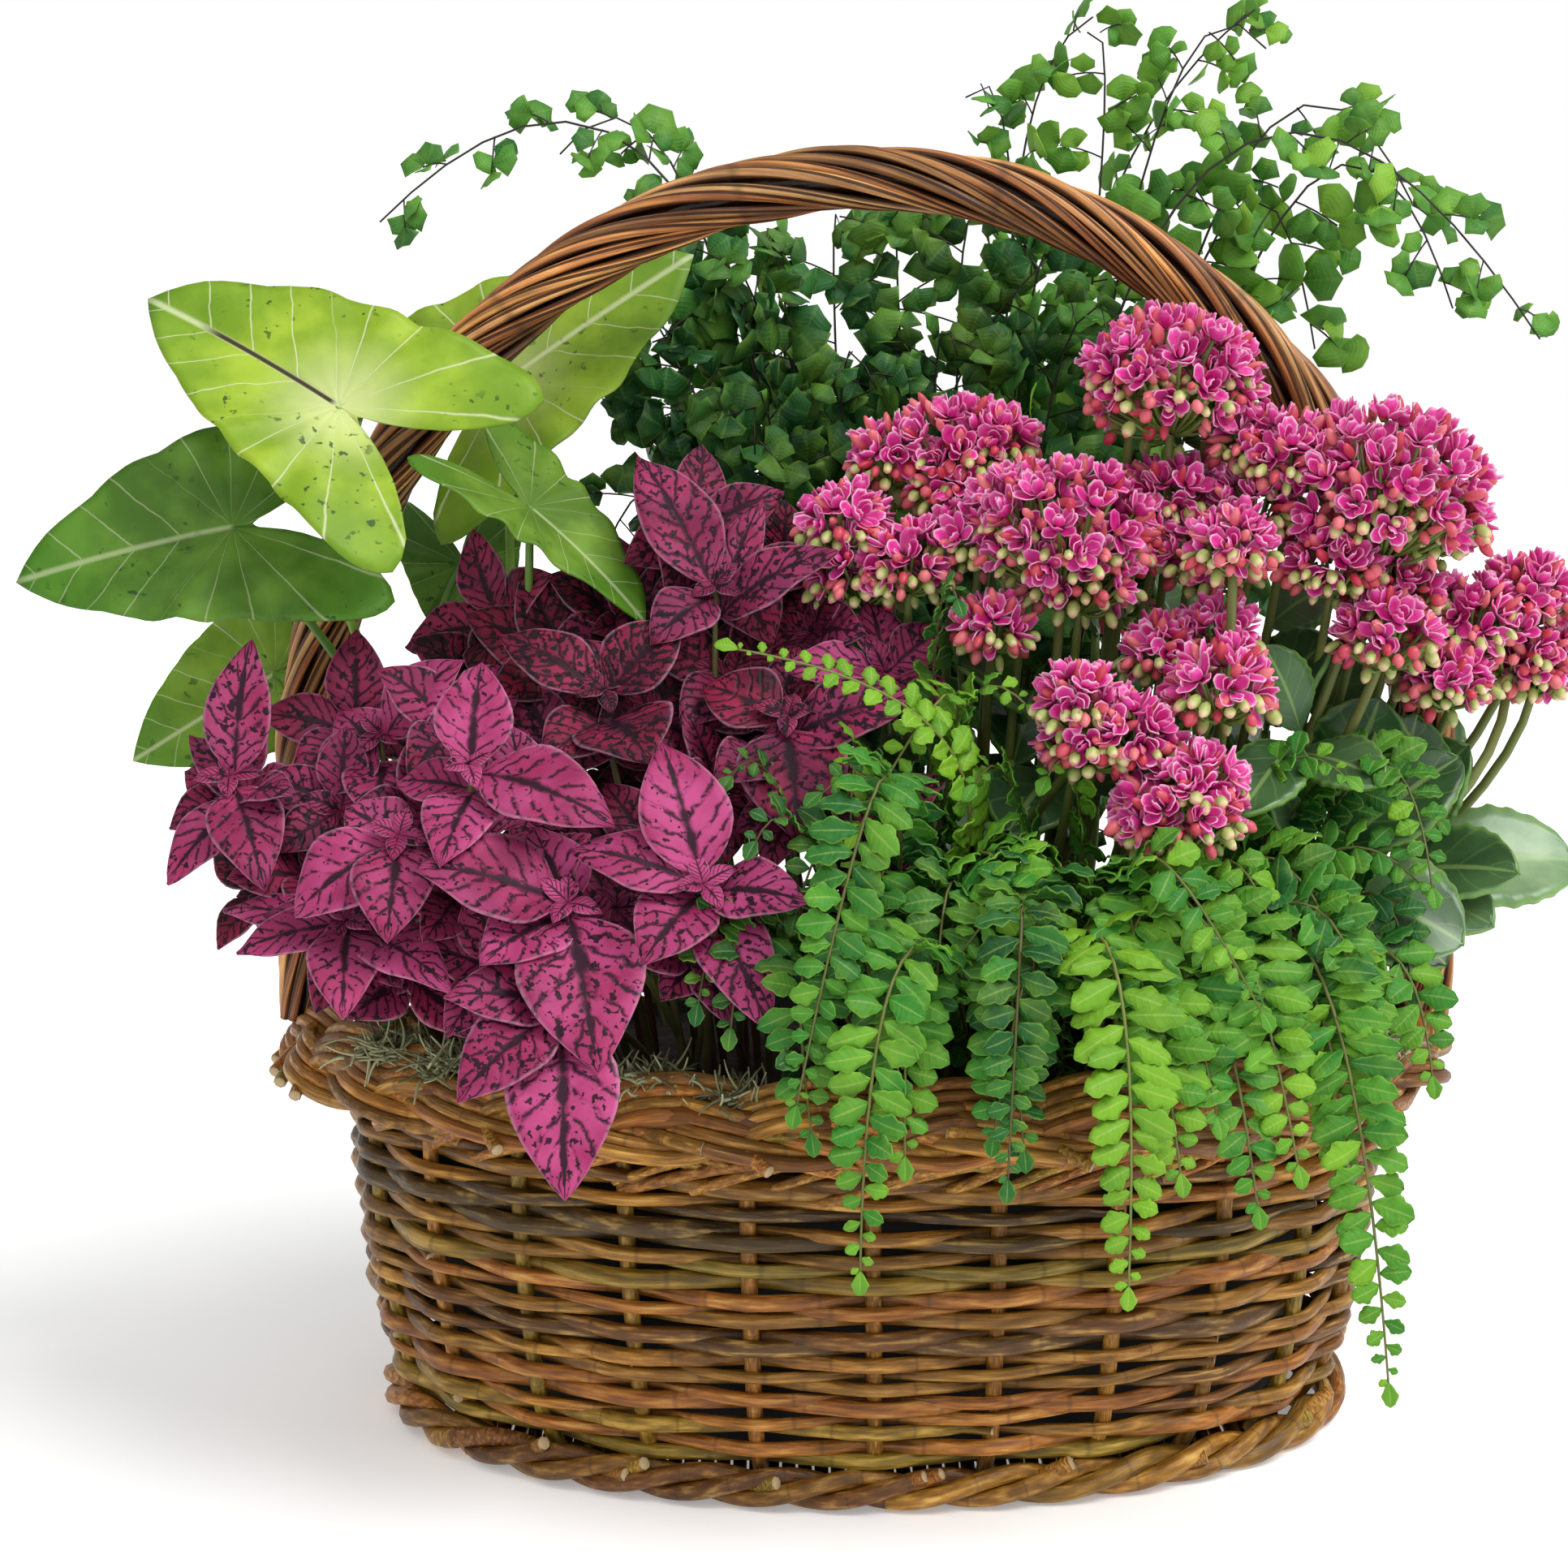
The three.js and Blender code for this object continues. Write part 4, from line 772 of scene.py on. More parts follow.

# %% [markdown]
# ## Handle
# The handle is a bundle of thin rods, laid round a thick core and turned slowly as they go over the arch. Its
# legs go down into the border. Sweeping one round profile would give a smooth pipe, so each rod is its own
# tube about the arch's middle line, and the gaps between them are real. The core's darkest tint and the
# painted shade on the rods' flanks darken them further.

# %% Handle
HALF_SPAN, SPRING_Z, RISE, LEG_LOW_Z = 164.0, 180.0, 180.0, 116.0
HANDLE_RODS, HANDLE_TURNS, HANDLE_REACH, HANDLE_ROD, HANDLE_CORE = 13, -3.75, 7.55, 1.64, 5.4


def handle():
    """Thirteen rods round a core: the arch's middle line plus a circle that turns nearly four times."""
    angle = np.linspace(np.pi, 0, 260)
    arch = np.stack([HALF_SPAN * np.cos(angle), 0 * angle, SPRING_Z + RISE * np.sin(angle)], -1)
    leg = np.linspace(LEG_LOW_Z, SPRING_Z, 30)[:-1]
    left = np.stack([0 * leg - HALF_SPAN, 0 * leg, leg], -1)
    line = along(np.concatenate([left, arch, left[::-1] * [-1, 1, 1]]), np.linspace(0, 1, 300))
    way = unit(np.gradient(line, axis=0))
    depth = np.array([0, 1.0, 0])
    sideways = np.cross(way, depth)
    share = np.linspace(0, 1, 300)
    bundle = Bundle()
    rod = np.arange(HANDLE_RODS)[:, None]
    turn = TURN * (HANDLE_TURNS * share + rod / HANDLE_RODS) + 0.12 * np.sin(share * 21 + rod * 2.3)
    reach = HANDLE_REACH + 0.35 * np.sin(share * 33 + rod * 1.7)
    path = line + reach[..., None] * (np.cos(turn)[..., None] * sideways + np.sin(turn)[..., None] * depth)
    size = HANDLE_ROD * (1 + 0.12 * np.sin(share * 9 + rod * 3.1))
    rods(bundle, path, size, 8, path - line, kinds_of(HANDLE_RODS))
    # The core gets the darkest tint: painted shade in the gaps between the rods
    rods(bundle, line[None], HANDLE_CORE, 12, depth, np.array([[0.8, 0.0]]))
    return bundle.piece("twisted_handle", willow_handle, "willow_handle", ["handle"])


handle()

# %% [markdown]
# ## Liner and soil
# A thin black cup keeps the damp soil off the willow. The soil is a low dome of dark compost. Both are rings
# of the oval at listed heights, joined into one closed skin. The soil's lumps are sums of sines, which are
# soft as compost is, and a finer grain is left to its finish.

# %% Liner and soil
def plain_finish(name, low, high, scale, roughness, bump):
    finish = Finish(name)
    grain = finish.noise(scale, 5.0)
    return finish.done(finish.mix(grain, low, high), roughness, grain, bump, 0.002)


INNER_LOW, INNER_HIGH = np.array([127.0, 86.0]), np.array([143.0, 103.0])


def inner_axes(z):
    return INNER_LOW + (INNER_HIGH - INNER_LOW) * ((z - 7) / 98)


def cup_and_soil():
    """Rings of the oval at listed heights and insets: the cup's outside, rim and inside, then the soil."""
    angle = np.linspace(0, TURN, 73)[:-1]
    cup = Bundle()
    stops = [(8.2, 60), (8.2, 2.2), (50, 2.4), (101, 2.9), (101, 4.2), (50, 4.0), (10, 4.0), (10, 60)]
    rings = np.stack([oval(inner_axes(z) - inset, angle, 0 * angle, z) for z, inset in stops])
    cup.add(rings[None], tube_uv(len(stops), 72), tint_of(0.0), closed=True, caps=True)
    cup.piece("liner_cup", plain_finish("liner_black", "#141414", "#222222", 40, 0.6, 0.1), "liner", ["liner"])
    soil = Bundle()
    reach = np.r_[0.5, 1.0, np.linspace(1, 0.03, 20)]
    z = np.r_[11, 11, 97 + 6 * (1 - reach[2:] ** 2)]
    axes = np.where(np.arange(22)[:, None] < 2, inner_axes(11.0), inner_axes(97.0)) - 5.0
    rings = np.stack([oval(a * r, angle, 0 * angle, h) for a, r, h in zip(axes, reach, z)])
    x, y = rings[2:, :, 0], rings[2:, :, 1]
    rings[2:, :, 2] += 1.2 * np.sin(x * 0.21 + 1) * np.sin(y * 0.26) + 0.7 * np.sin(x * 0.6 + y * 0.5)
    soil.add(rings[None], tube_uv(22, 72), tint_of(0.0), closed=True, caps=True)
    soil.piece("dark_soil", plain_finish("compost", "#120c08", "#33241a", 260, 0.95, 0.9), "soil", ["soil"])


cup_and_soil()

# %% [markdown]
# ## Moss
# Grey-green moss sits in a few tufts where the plants meet the border. A tuft could be hair, but short curved
# tubes are real surfaces that can be exported. They leave the tuft's middle in all directions and bend.


# %% Moss
MOSS_THREADS = 150  # in each tuft


def moss():
    """Tufts of short curled threads: each thread leaves the tuft's middle and bends down as it goes out."""
    bundle = Bundle()
    spots = [seen(485, 1240, -70), seen(800, 1308, -106), seen(560, 1290, -88), seen(1700, 1215, -60),
             seen(905, 1330, -112), (60, 98, 124), (-70, 96, 124), (140, 50, 122)]
    count = MOSS_THREADS
    for x, y, z in spots:
        way = unit(rng.normal(size=(count, 3)) * [1, 1, 0.5] + [0, 0, 0.35])
        start = np.array([x, y, min(z, 127) - 5]) + rng.normal(size=(count, 3)) * [5, 4, 1.2]
        t = np.linspace(0, 1, 6)[None, :, None]
        length = rng.uniform(4, 10, (count, 1, 1))
        bend = unit(np.cross(way, rng.normal(size=(count, 3))))[:, None]
        path = start[:, None] + way[:, None] * length * t + bend * length * 0.5 * t**2
        radius = 0.55 * (1 - 0.6 * t[..., 0]) * np.ones((count, 1))
        bundle.add_tubes(path, radius, 4, np.array([0.1, 0.2, 1.0]), tint_of(rng.uniform(0, 1, count)))
    finish = Finish("grey_moss")
    kind, _, _ = finish.tint()
    base = finish.colours(kind, [(0, "#4d5236"), (0.5, "#8c9068"), (1, "#b9ba93")])
    bundle.piece("moss_tufts", finish.done(base, 0.9), "moss")


moss()

# %% [markdown]
# ## Arrowhead plant
# Six arrow-shaped leaves stand on thick green stalks. A grid from base to tip would bunch up in the two back
# lobes, so the blade is a fan about the point where the stalk joins it: an outline gives the reach for each
# angle, long at the tip and at the lobes. The blade is creased along its midrib and droops away from the joint.

# %% Arrowhead leaves
ARROWHEAD_OUTLINE = np.array([
    [0, 1], [8, 0.88], [16, 0.78], [26, 0.67], [38, 0.58], [56, 0.5], [76, 0.47], [94, 0.49], [110, 0.56],
    [121, 0.66], [130, 0.76], [137, 0.82], [143, 0.83], [149, 0.74], [155, 0.52], [163, 0.27], [172, 0.12],
    [180, 0.09]])
ARROWHEAD_LEAVES = [
    # joint, tip, back lobe, droop, greenness, dark line along the midrib
    ((-147, -38, 296), (-203, -20, 330), (-131, -15, 325), 0.1, 0.0, 1.0),
    ((-179, -28, 262), (-242, -30, 250), (-196, -15, 282), 0.12, 0.85, 0.0),
    ((-106, 28, 302), (-52, 34, 341), (-91, 12, 282), 0.08, 0.25, 0.0),
    ((-95, -34, 268), (-60, -44, 240), (-84, 5, 282), 0.1, 0.7, 0.0),
    ((-178, 34, 214), (-219, 20, 190), (-188, 40, 240), 0.1, 0.6, 0.0),
    ((-122, 46, 246), (-116, 30, 214), (-138, 48, 252), 0.1, 0.9, 0.0),
]


def arrowhead_blade(joint, tip, lobe, droop):
    """Fan about the joint: reach times the outline, lifted by |sine| times reach, lowered by reach squared."""
    joint, tip, lobe = (np.array(a, float) for a in (joint, tip, lobe))
    forward, length = unit(tip - joint), np.linalg.norm(tip - joint)
    normal = unit(np.cross(forward, lobe - joint))
    normal = normal if normal @ FACE > 0 else -normal
    side = np.cross(normal, forward)
    degrees = np.linspace(-180, 180, 97)
    reach = np.interp(np.abs(degrees), ARROWHEAD_OUTLINE[:, 0], ARROWHEAD_OUTLINE[:, 1])
    turn = np.radians(degrees)
    share = np.linspace(0.0, 1, 15)[:, None]
    r = reach[None] * share
    ripple = 0.02 * share**3 * np.sin(turn * 11 + joint[0])
    quilt = 0.006 * share * np.sin(np.abs(turn) * 14)
    sag = length * (0.2 * np.abs(np.sin(turn)) * r - droop * r**2 + ripple + quilt)
    grid = (joint + forward * (length * r * np.cos(turn))[..., None]
            + side * (length * r * np.sin(turn))[..., None] + normal * sag[..., None])
    uv = np.stack([r * np.cos(turn), r * np.sin(turn)], -1) / 2 + 0.5
    return grid[:, ::-1], uv[:, ::-1]


# %% [markdown]
# ## Arrowhead finish
# Young leaves are lime with cream veins; old ones are green. Both have dark specks. The leaf's own UV map is
# its outline laid flat, with the joint in the middle, so each set of veins is one sum of its two numbers.


# %% Arrowhead finish
def arrowhead_finish():
    """Laterals are lines of equal (forward - 0.85 side); the lobes' veins are lines of equal angle."""
    finish = Finish("arrowhead_blade")
    u, v = finish.uv()
    green, line, _ = finish.tint()
    x = u * 2.0 - 1.0
    y = finish.maths("ABSOLUTE", v * 2.0 - 1.0)
    wobble = (finish.noise(60.0) - 0.5) * 0.08
    lateral = x - y * 0.85 + wobble
    front = finish.ramp(lateral, -0.02, 0.04)
    veins = finish.comb(lateral * 4.5, 0.035) * front
    angle = finish.maths("ARCTAN2", y, x) + wobble
    fan = finish.comb(angle * 2.2 + 0.3, 0.04) * (1.0 - front)
    midrib = finish.ramp(y, 0.022, 0.005) * finish.ramp(x, -0.02, 0.02)
    pattern = finish.maths("MAXIMUM", finish.maths("MAXIMUM", veins, fan), midrib)
    away = finish.maths("SQRT", x * x + y * y)
    mottle = finish.ramp(finish.noise(55.0, 4.0), 0.35, 0.7)
    lime = finish.mix(mottle, "#7d9f1c", "#a6c236")
    old = finish.mix(mottle, "#33601a", "#55862c")
    base = finish.mix(green, lime, old)
    centre = finish.ramp(away, 0.4, 0.0) * (0.65 - green)
    base = finish.mix(centre, base, "#dfe6a4")
    base = finish.mix(finish.ramp(away, 0.4, 0.95) * 0.6, base, "#437f16")
    speck = finish.ramp(finish.noise(330.0, 2.0), 0.63, 0.68)
    speck = speck * finish.ramp(finish.noise(38.0), 0.42, 0.62)
    base = finish.mix(speck * 0.85, base, "#1c4412")
    strength = 0.55 - green * 0.3
    base = finish.mix(pattern * strength, base, "#eef3c4")
    dark_line = finish.ramp(y, 0.016, 0.006) * finish.ramp(x, 0.0, 0.05)
    dark_line = dark_line * (line * finish.ramp(x, 0.75, 0.6))
    base = finish.mix(dark_line, base, "#3c3320")
    return finish.done(base, 0.5, 1.0 - pattern, 0.4, 0.0008, **{"Specular IOR Level": 0.3})


def stalk_finish(name, low, high, roughness=0.5):
    finish = Finish(name)
    kind, _, _ = finish.tint()
    blotch = finish.ramp(finish.noise(120.0), 0.3, 0.7)
    base = finish.mix(kind, low, high)
    base = finish.mix(blotch * 0.4, base, finish.mix(0.5, base, "#203010"))
    return finish.done(base, roughness, blotch, 0.1)


# %% Arrowhead plant
def arrowhead_plant():
    blades, stalks, misses = Bundle(), Bundle(), []
    nodes = numbered("arrowhead_leaf", ARROWHEAD_LEAVES)
    for node, (joint, tip, lobe, droop, green, line) in zip(nodes, ARROWHEAD_LEAVES):
        grid, uv = arrowhead_blade(joint, tip, lobe, droop)
        blades.add(grid[None], uv, tint_of(green, line))
        bow = np.array([0 if joint[0] > -120 else -8, 0, 10])
        curve, miss = followed_stem(corners_of(node), np.array(joint, float), bow, 1.7)
        misses.append(miss)
        path = along(curve, np.linspace(0, 1, 40))
        stalks.add_tubes(path[None], np.linspace(2.1, 1.1, 40), 8, np.array([0, 1.0, 0.1]), tint_of(green))
    print("arrowhead stalks off the CAD by", np.round(misses, 2))
    blades.piece("arrowhead_blades", arrowhead_finish(), "arrowhead_leaf", nodes, thickness=0.5)
    stalks.piece("arrowhead_stalks", stalk_finish("arrowhead_stalk", "#7fa436", "#4f7d2a"), "arrowhead_stem")


arrowhead_plant()

# %% [markdown]
# ## Pink polka-dot plant
# Leaves stand in pairs at the tops of thin stems. Each is a pointed oval. It could be cut from a flat sheet,
# but real ones arch, fold up and wave, and that is a sum of three terms. The CAD leaves keep their places, and
# smaller rosettes, darkened with painted shade, fill the plant behind them.

# %% Leaf outlines
def pointed(u):
    """Pointed oval on a short stalk."""
    s = np.clip((u - 0.08) / 0.92, 0, 1)
    return np.maximum(np.sin(np.pi * s**0.78) ** 0.85, 0.05 * (u < 0.5)) * (u < 1)


def scalloped(u):
    """Broad oval whose edge is cut into shallow rounded teeth."""
    s = np.clip((u - 0.12) / 0.88, 0, 1)
    body = np.sin(np.pi * s**1.15) ** 0.62
    return np.maximum(body * (1 - 0.07 * np.abs(np.cos(s * 26))), 0.09 * (u < 0.5)) * (u < 1)


# %% Polka-dot leaves
POLKA_STEMS = [
    # crown, tips and widths of its leaves, darkness of the stem's leaves, which is painted shade deeper in the
    # plant
    ((-176, -60, 196), [(-170, -56, 233, 17), (-163, -86, 170, 19), (-192, -70, 168, 14), (-156, -78, 194, 12),
                        (-190, -42, 205, 12)], 0.4),
    ((-107, -95, 204), [(-104, -86, 230, 19), (-68, -112, 191, 22), (-112, -120, 182, 18), (-127, -86, 198, 14),
                        (-94, -62, 209, 15)], 0.15),
    ((-45, -112, 175), [(-56, -96, 210, 22), (-79, -110, 184, 17), (-60, -130, 158, 20), (-18, -120, 172, 18),
                        (-28, -134, 142, 18)], 0.05),
    ((-80, -112, 170), [(-118, -118, 181, 24), (-71, -142, 133, 30), (-101, -130, 158, 20),
                        (-90, -98, 188, 18)], 0.1),
    ((-81, -128, 146), [(-79, -150, 102, 26), (-106, -145, 126, 20), (-110, -132, 150, 18)], 0.15),
    ((-125, -100, 186), [(-152, -106, 166, 22), (-126, -120, 162, 20), (-140, -90, 192, 18)], 0.15),
    ((-135, -55, 207), [(-112, -60, 228, 18), (-152, -60, 191, 18), (-148, -45, 212, 16),
                        (-134, -78, 186, 19)], 0.4),
    ((-73, -62, 220), [(-102, -50, 234, 17), (-52, -56, 238, 20), (-60, -86, 204, 26),
                       (-88, -82, 203, 18)], 0.85),
    ((-43, -45, 247), [(-65, -26, 282, 20), (-60, -62, 233, 17), (-10, -58, 258, 17),
                       (-30, -30, 270, 12)], 0.6),
    ((-23, -70, 214), [(-20, -94, 184, 27), (-46, -60, 221, 20), (12, -76, 220, 20), (4, -98, 174, 20),
                       (-42, -92, 200, 18)], 0.7),
    ((-140, -94, 162), [(-169, -96, 154, 13), (-138, -120, 142, 18), (-110, -122, 150, 16),
                        (-176, -76, 162, 11)], 0.3),
    ((-92, 62, 190), [(-112, 96, 178, 22), (-72, 98, 182, 24), (-118, 68, 208, 20), (-70, 66, 212, 18),
                      (-94, 88, 160, 20)], 0.4),
]
# Further rosettes: picture place and depth of the crown, length of a leaf, darkness as painted shade
POLKA_FILL = [
    (300, 985, -50, 24, 0.6), (440, 905, -36, 26, 0.65), (420, 1000, -62, 26, 0.6), (560, 900, -60, 26, 0.5),
    (650, 1010, -84, 26, 0.4), (560, 1110, -92, 26, 0.5), (700, 830, -34, 30, 0.9), (770, 770, -28, 30, 0.9),
    (690, 930, -56, 26, 0.75), (850, 660, -20, 28, 0.75), (900, 720, -26, 28, 0.8), (900, 840, -42, 28, 0.8),
    (960, 890, -56, 24, 0.7), (760, 1120, -96, 26, 0.5), (620, 1200, -102, 26, 0.55),
    (450, 1150, -84, 26, 0.6), (700, 1200, -104, 24, 0.5), (880, 980, -66, 24, 0.75),
    (1090, 830, -52, 26, 0.35), (1080, 1020, -74, 22, 0.3), (380, 1080, -66, 26, 0.7),
    (330, 1100, -50, 22, 0.95), (800, 880, -50, 28, 0.85), (980, 1000, -72, 22, 0.6),
    (520, 1010, -74, 26, 0.5), (860, 1180, -104, 22, 0.5), (1000, 780, -36, 26, 0.7),
    (620, 770, -20, 28, 0.9), (500, 1200, -92, 26, 0.7), (640, 1120, -96, 26, 0.5), (750, 960, -30, 28, 0.95),
    (680, 880, -14, 28, 0.95), (820, 960, -44, 26, 0.9), (880, 900, -30, 26, 0.95), (960, 820, -24, 26, 0.9),
    (600, 850, -24, 28, 0.8), (800, 1050, -70, 26, 0.8), (500, 1080, -60, 26, 0.85), (860, 780, -14, 28, 1.0),
    (960, 700, -12, 24, 0.9),
]


# %% [markdown]
# ## Polka-dot finish
# The leaf is pink with a near-black midrib, broken dark side veins and specks, and quilted between its veins;
# leaves deep in the plant are painted dark crimson with more marks, as painted shade. Side veins are evenly
# spaced lines of U less a share of the way to the edge, and noise breaks them, so that no two leaves are alike.


# %% Polka-dot finish
def polka_finish():
    """Side veins are lines of equal (7 U - 1.7 off the middle); the maximum joins rib, veins and specks."""
    finish = Finish("polka_dot_blade")
    u, v = finish.uv()
    dark, dots, _ = finish.tint()
    off = finish.off_middle(v)
    wobble = finish.noise(220.0) - 0.5
    bright = finish.mix(finish.ramp(finish.noise(70.0), 0.3, 0.7), "#98265a", "#c04c84")
    # Dark crimson for leaves deep in the plant, from the tint's first number: painted shade
    deep = finish.mix(finish.ramp(finish.noise(90.0), 0.3, 0.7), "#3a0616", "#8e1a3c")
    base = finish.mix(dark, bright, deep)
    lateral = u * 7.0 - off * 1.7 + wobble
    # Darker, shaded leaves get more marks, part of the painted shade; the second number adds marks at random
    heavy = dots * 0.08 + dark * 0.1
    veins = finish.comb(lateral, 0.2) * finish.ramp(finish.noise(330.0) + heavy, 0.45, 0.54)
    rib_width = 0.08 + (1.0 - u) * 0.16
    rib = finish.ramp(off - wobble * 0.34, rib_width, 0.03)
    speck = finish.ramp(finish.noise(480.0, 2.0) + heavy, 0.66, 0.7)
    marks = finish.maths("MAXIMUM", finish.maths("MAXIMUM", veins, rib), speck)
    base = finish.mix(marks * 0.96, base, "#1c0816")
    base = finish.mix(finish.ramp(off, 0.9, 0.99) * 0.3, base, "#e2a7c4")
    quilt = 1.0 - finish.maths("MAXIMUM", finish.comb(lateral, 0.22), rib)
    return finish.done(base, 0.6, quilt, 0.45, 0.0009, **{"Specular IOR Level": 0.25})


# %% Leaves and stems of leafy plants
def pair_of_leaves(bundle, base, tips, face, widths, dark, dots, rows=15, columns=9):
    """Polka-dot leaves from their bases to their tips."""
    count = len(tips)
    grids = leaves(base, tips, face, widths, pointed, rows, columns, arch=0.1, fold=0.2, wave=0.012, curl=0.04,
                   phase=rng.uniform(0, TURN, count))
    bundle.add(grids, sheet_uv(rows, columns), tint_of(dark, dots))


def thin_stem(bundle, curve, low, high, kind, rows=18, sides=6):
    """A stem along a curve that thins from its root to its top."""
    path = along(curve, np.linspace(0, 1, rows))[None]
    bundle.add_tubes(path, np.linspace(low, high, rows), sides, np.array([0.05, 1.0, 0.1]), tint_of(kind))


def stem_point(curve, share, steps=4):
    """A point of a CAD stem, on the straight pieces between its steps."""
    step = min(int(share * steps), steps - 1)
    low, high = along(curve, [step / steps, (step + 1) / steps])
    return low + (high - low) * (share * steps - step)


def leafy_node(node, crown, tips, radius, face, stems, kind):
    """Follows one leafy stem of the CAD model and gives its leaves' bases and tips."""
    corners = corners_of(node)
    curve, miss = followed_stem(corners, np.array(crown, float), np.array([0, 0, 8.0]), radius)
    thin_stem(stems, curve, radius, radius * 0.7, kind)
    found = []
    for index, (x, y, z, width) in enumerate(tips):
        base = stem_point(curve, 0.98 - 0.045 * (index // 2))
        tip, off = followed_tip(corners, base, np.array([x, y, z], float), face)
        found.append((base, tip, width, off))
    return found, miss


def fan_rosette(centre, facing, length, count, start):
    """Tips of leaves set round a crown: a circle square to the facing direction, pushed a little forward."""
    facing = unit(facing)
    across = unit(np.cross(facing, [0, 0, 1.0]))
    up = np.cross(across, facing)
    angle = start + TURN * np.arange(count) / count + rng.normal(0, 0.15, count)
    reach = length * rng.uniform(0.8, 1.15, count)
    way = np.cos(angle)[:, None] * across + np.sin(angle)[:, None] * up
    return centre + unit(way + facing * rng.uniform(0.0, 0.5, (count, 1))) * reach[:, None]


# %% Polka-dot plant
def polka_dot_plant():
    blades, stems, misses = Bundle(), Bundle(), []
    nodes = numbered("polka_dot_stem", POLKA_STEMS, 2)
    for node, (crown, tips, dark) in zip(nodes, POLKA_STEMS):
        face = BACK_FACE if node.endswith("12") else FACE  # the last stem stands behind the handle
        found, miss = leafy_node(node, crown, tips, 1.2, face, stems, 0.3)
        misses.append((miss, max(off for *_, off in found)))
        base, tip = (np.array([f[i] for f in found]) for i in (0, 1))
        widths = np.array([f[2] for f in found]) * 1.12
        shades = np.clip(dark + rng.normal(0, 0.12, len(found)), 0, 1)
        pair_of_leaves(blades, base, tip, face, widths, shades, rng.uniform(0, 1, len(found)))
        crown_tips = fan_rosette(np.array(crown, float), face, 9, 4, rng.uniform(0, TURN))
        pair_of_leaves(blades, np.array(crown, float)[None] + 0 * crown_tips, crown_tips, face, 5.5,
                       np.full(4, dark), rng.uniform(0.5, 1, 4), 9, 5)
    print("polka-dot stems and leaves off the CAD by", np.round(misses, 2).tolist())
    finish = polka_finish()
    blades.piece("polka_dot_leaves", finish, "polka_dot_leaf", nodes, thickness=0.5)
    fill = Bundle()
    for px, py, depth, length, dark in POLKA_FILL:
        crown = seen(px, py, depth)
        facing = unit(np.array([rng.normal(0, 0.3), -0.8, 0.55]))
        count = int(rng.integers(4, 7))
        tips = fan_rosette(crown, facing, length, count, rng.uniform(0, TURN))
        base = crown + unit(tips - crown) * 1.5
        shades = np.clip(dark + rng.normal(0, 0.12, count), 0, 1)
        pair_of_leaves(fill, base, tips, facing[None], length * rng.uniform(0.55, 0.68, count), shades,
                       rng.uniform(0, 1, count), 11, 7)
        inner = fan_rosette(crown, facing, length * 0.45, 4, rng.uniform(0, TURN))
        pair_of_leaves(fill, crown + 0 * inner, inner, facing[None], length * 0.28, np.full(4, dark),
                       rng.uniform(0, 1, 4), 9, 5)
        foot_x, foot_y = np.clip(crown[0] * 0.72, -118, 40), np.clip(crown[1] * 0.45, -60, 10)
        root = np.array([foot_x, foot_y, FOOT_Z_OF_STEMS])
        thin_stem(stems, stem_curve(root, (root + crown) / 2 + [0, 0, 6], crown), 1.3, 0.8, rng.uniform(0, 1))
    fill.piece("polka_dot_inner_leaves", finish, "polka_dot_leaf", thickness=0.5)
    stems.piece("polka_dot_stems", stalk_finish("polka_dot_stalk", "#6b7a3a", "#6a2a3c"), "polka_dot_stem")


polka_dot_plant()

# %% [markdown]
# ## Kalanchoe flowers
# Each head is a dome of double florets, like tiny roses, with coral buds standing between them and green-cream
# buds hanging under the rim. A floret is three whorls of spoon-shaped petals, each whorl steeper than the one
# outside it. With thousands of petals, each has only nine faces. The golden angle spreads florets over the
# dome without rows, as seeds sit in a seed head.

# %% Flower heads
HEAD_BALLS = [
    [(83, -37, 304, 25), (104, -40, 288, 10)], [(24, -26, 285, 19)], [(52, -56, 263, 25)],
    [(-2, -38, 252, 17)], [(96, -74, 261, 12)], [(91, -92, 225, 15)], [(140, -46, 273, 31)],
    [(140, -60, 236, 15), (160, -46, 222, 13)], [(182, -22, 232, 22)], [(58, -92, 213, 16)],
    [(79, -103, 194, 18)], [(33, -62, 238, 11)], [(100, 34, 262, 21), (80, 52, 240, 16)],
]
HEAD_FLATTEN, HEAD_COVER, FLORET = 0.78, 1.6, 9.4
FORK_DROP = 0.62  # how far below a head's middle its stalks fork, as a share of its radius
GOLDEN_TURN = np.pi * (3 - np.sqrt(5))


def round_the_ball(count, cover, shift=0.0):
    """Directions spread evenly from the top of a ball down to its shoulders, by the golden angle."""
    i = np.arange(count)
    height = 1 - cover * (i + 0.5) / count
    ring = np.sqrt(np.maximum(0, 1 - height**2))
    turn = GOLDEN_TURN * i + shift
    return np.stack([ring * np.cos(turn), ring * np.sin(turn), height], -1)


def petal(u):
    """A petal: narrow at its base, broadest past the middle, with a blunt point."""
    return 0.2 + 0.8 * np.sin(np.pi * np.clip(u, 0, 1) ** 1.25 * 0.93) ** 0.8


